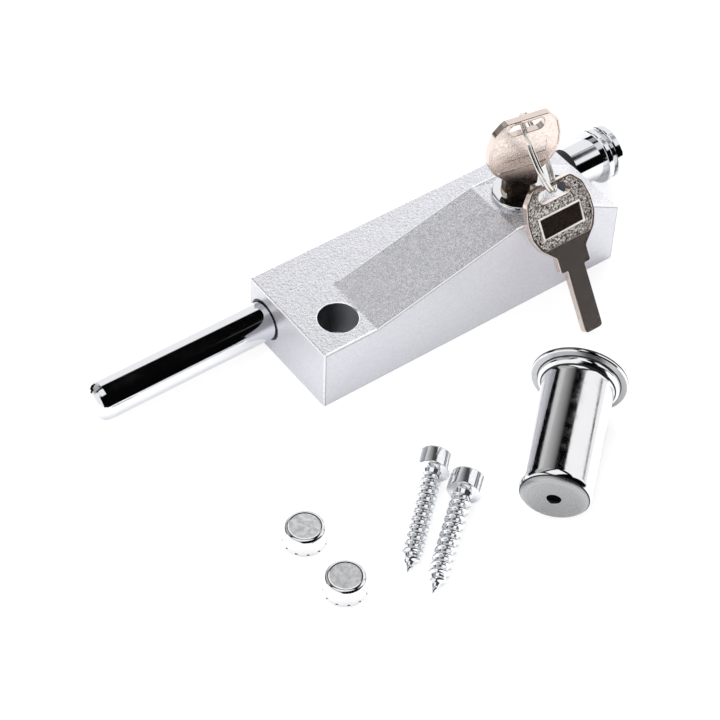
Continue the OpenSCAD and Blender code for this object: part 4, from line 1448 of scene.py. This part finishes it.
@dataclass
class ScrewCaps:
    """The two pressed caps that hide the mounting screws."""

    places: tuple[Point, ...] = ((-32.6, -36.8), (-33.4, -57.2))
    radius: float = 6.0
    height: float = 6.0
    top_r: float = 4.5
    curl_from: float = 4.8
    curl_r: float = 1.1
    lip_r: float = 6.35
    lip_h: float = 1.4
    wall: float = 0.6
    # Notches in the lip: how many, their size, and how much turn their sides take
    notches: int = 12
    notch_turn: float = 0.12
    notch_h: float = 0.8
    notch_depth: float = 0.45
    notch_side: float = 0.004
    slices: int = 10

    def section(self) -> list[Point]:
        """Gives the cap's wall from the middle of its top, round its lip, to the middle inside.

        Returns:
            Its points, by radius and height.
        """
        r, h, p, q, t = self.radius, self.height, self.lip_r, self.lip_h, self.wall
        c, s = self.curl_r, self.curl_from
        curl = [math.radians(a) for a in range(0, 91, 10)]
        return [
            (0, h - 0.04), (4.3, h - 0.04), (4.45, h - 0.04), (4.62, h - 0.015),
            *((s + c * math.sin(a), h - c + c * math.cos(a)) for a in curl),
            (5.94, h - 1.9), (r, h - 3.0), (r + 0.1, q + 0.4), (p - 0.12, 1.0), (p - 0.1, 0.85),
            (p - 0.06, 0.5), (p, 0.15), (p - 0.1, 0.0), (p - t + 0.1, 0.0), (p - t, 0.12),
            (r - t - 0.1, q + 0.2), (r - t - 0.1, h - 1.2), (s, h - t), (0, h - t)]

    def slice(self) -> Solid:
        """Makes the slice of the cap that holds one notch.

        Returns:
            The slice.
        """
        line = self.section()
        part = bmesh.new()
        side, wedge = self.notch_side, math.tau / self.notches
        end = self.notch_turn + side
        turns = [(0.0, 0.0), (side, self.notch_h), (self.notch_turn, self.notch_h), (end, 0.0)]
        turns += [(end + (wedge - end) * k / self.slices, 0.0) for k in range(1, self.slices + 1)]
        rows = []
        for turn, cut in turns:
            pressed = [self.lip_r - self.notch_depth
                       if z < cut + 0.1 and x > self.radius - 0.1 else x for x, z in line]
            rows.append([part.verts.new((x * math.cos(turn), x * math.sin(turn), z))
                         for x, (_, z) in zip(pressed, line)])
        for one, two in zip(rows, rows[1:]):
            for k in range(len(line) - 1):
                part.faces.new((one[k], two[k], two[k + 1], one[k + 1]))
        return part

    def plate_of(self, at: Vector) -> CapPlate:
        """Chooses the finish of a face by its middle.

        Args:
            at: The middle of the face.

        Returns:
            Its finish.
        """
        out = math.hypot(at.x, at.y)
        if at.z > self.height - 0.05 and out < self.top_r:
            return CapPlate.SATIN
        # Painted shade inside the cap and in its notches
        hollow = at.z < self.height - self.wall / 2 and out < self.radius - self.wall + 0.05
        turn = math.atan2(at.y, at.x) % (math.tau / self.notches)
        notch = at.z < 1.0 and turn < self.notch_turn + 0.006
        return CapPlate.BARE if hollow or notch else CapPlate.DRAWN

    def build(self) -> None:
        """Presses one slice of cap, repeats it round, and sets down two caps."""
        caps = []
        for x, y in self.places:
            cap = RoundRecipe("cap slices", {
                "Count": self.notches, "Finish": DRAWN_CHROME.build()}).run(self.slice())
            bmesh.ops.remove_doubles(cap, verts=cap.verts, dist=1e-3)
            for face in cap.faces:
                face.material_index = self.plate_of(face.calc_center_median())
            cap.transform(Matrix.Translation((x, y, 0)))
            caps.append(cap)
        made = piece("screw_caps_pressed", joined(*caps), (DRAWN_CHROME, SATIN_TOP, SHADE_STEEL))
        hand_over(made, "body", "screw_caps")


@dataclass
class PlainParts:
    """The CAD nodes whose shape is kept, each with its finish."""

    finishes: tuple[tuple[Finish, tuple[str, ...]], ...] = (
        (CHROME, ("bolt_rod", "pull_knob", "knob_screw", "lock_bezel")),
        (DARK_NICKEL, ("lock_plug",)),
        (BRASS, ("lock_barrel", "barrel_nut", "wafers", "cam", "pad_screw")),
        (PHOSPHATED, ("lock_washer", "cam_clip", "locking_slide", "stop_pin", "pad_spring")),
        (NYLON, ("front_bush", "rear_bush")), (RUBBER, ("knob_buffer",)),
        (ACETAL, ("friction_pad",)), (SHEET, ("base_plate",)), (ZINC_PLATE, ("plate_screws",)))

    def build(self) -> None:
        """Dresses each node."""
        for finish, names in self.finishes:
            for name in names:
                dress_node(name, finish)


def keys() -> tuple[Key, Key]:
    """Gives the key in the lock and the spare key that hangs from the ring.

    Returns:
        The two keys.
    """
    in_lock = Matrix.Translation((79.0, 12.0, 65.0)) @ spun(170, "Z") @ spun(90, "X")
    # It hangs from the crest's near edge, leaning on it
    hanging = (Matrix.Translation((83.3165, 0.0, 34.5)) @ spun(57, "X")
               @ Matrix.Translation((0.0, 9.44104, 1.5)))
    # The key in the lock has painted shade on its neck
    return Key("lock_key", "key", in_lock, NECK_SHADE), Key("spare_key", "spare", hanging)


def main() -> None:
    """Builds the studio and every sub-assembly."""
    logging.basicConfig(level=logging.INFO, format="%(name)s: %(message)s")
    for part in (Studio(), PlainParts(), BodyCasting(), *keys(), SplitRing(), ReceiverSleeve(),
                 MountingScrews(), ScrewCaps()):
        part.build()
        log.info("built %s", type(part).__name__)


if __name__ == "__main__":
    main()
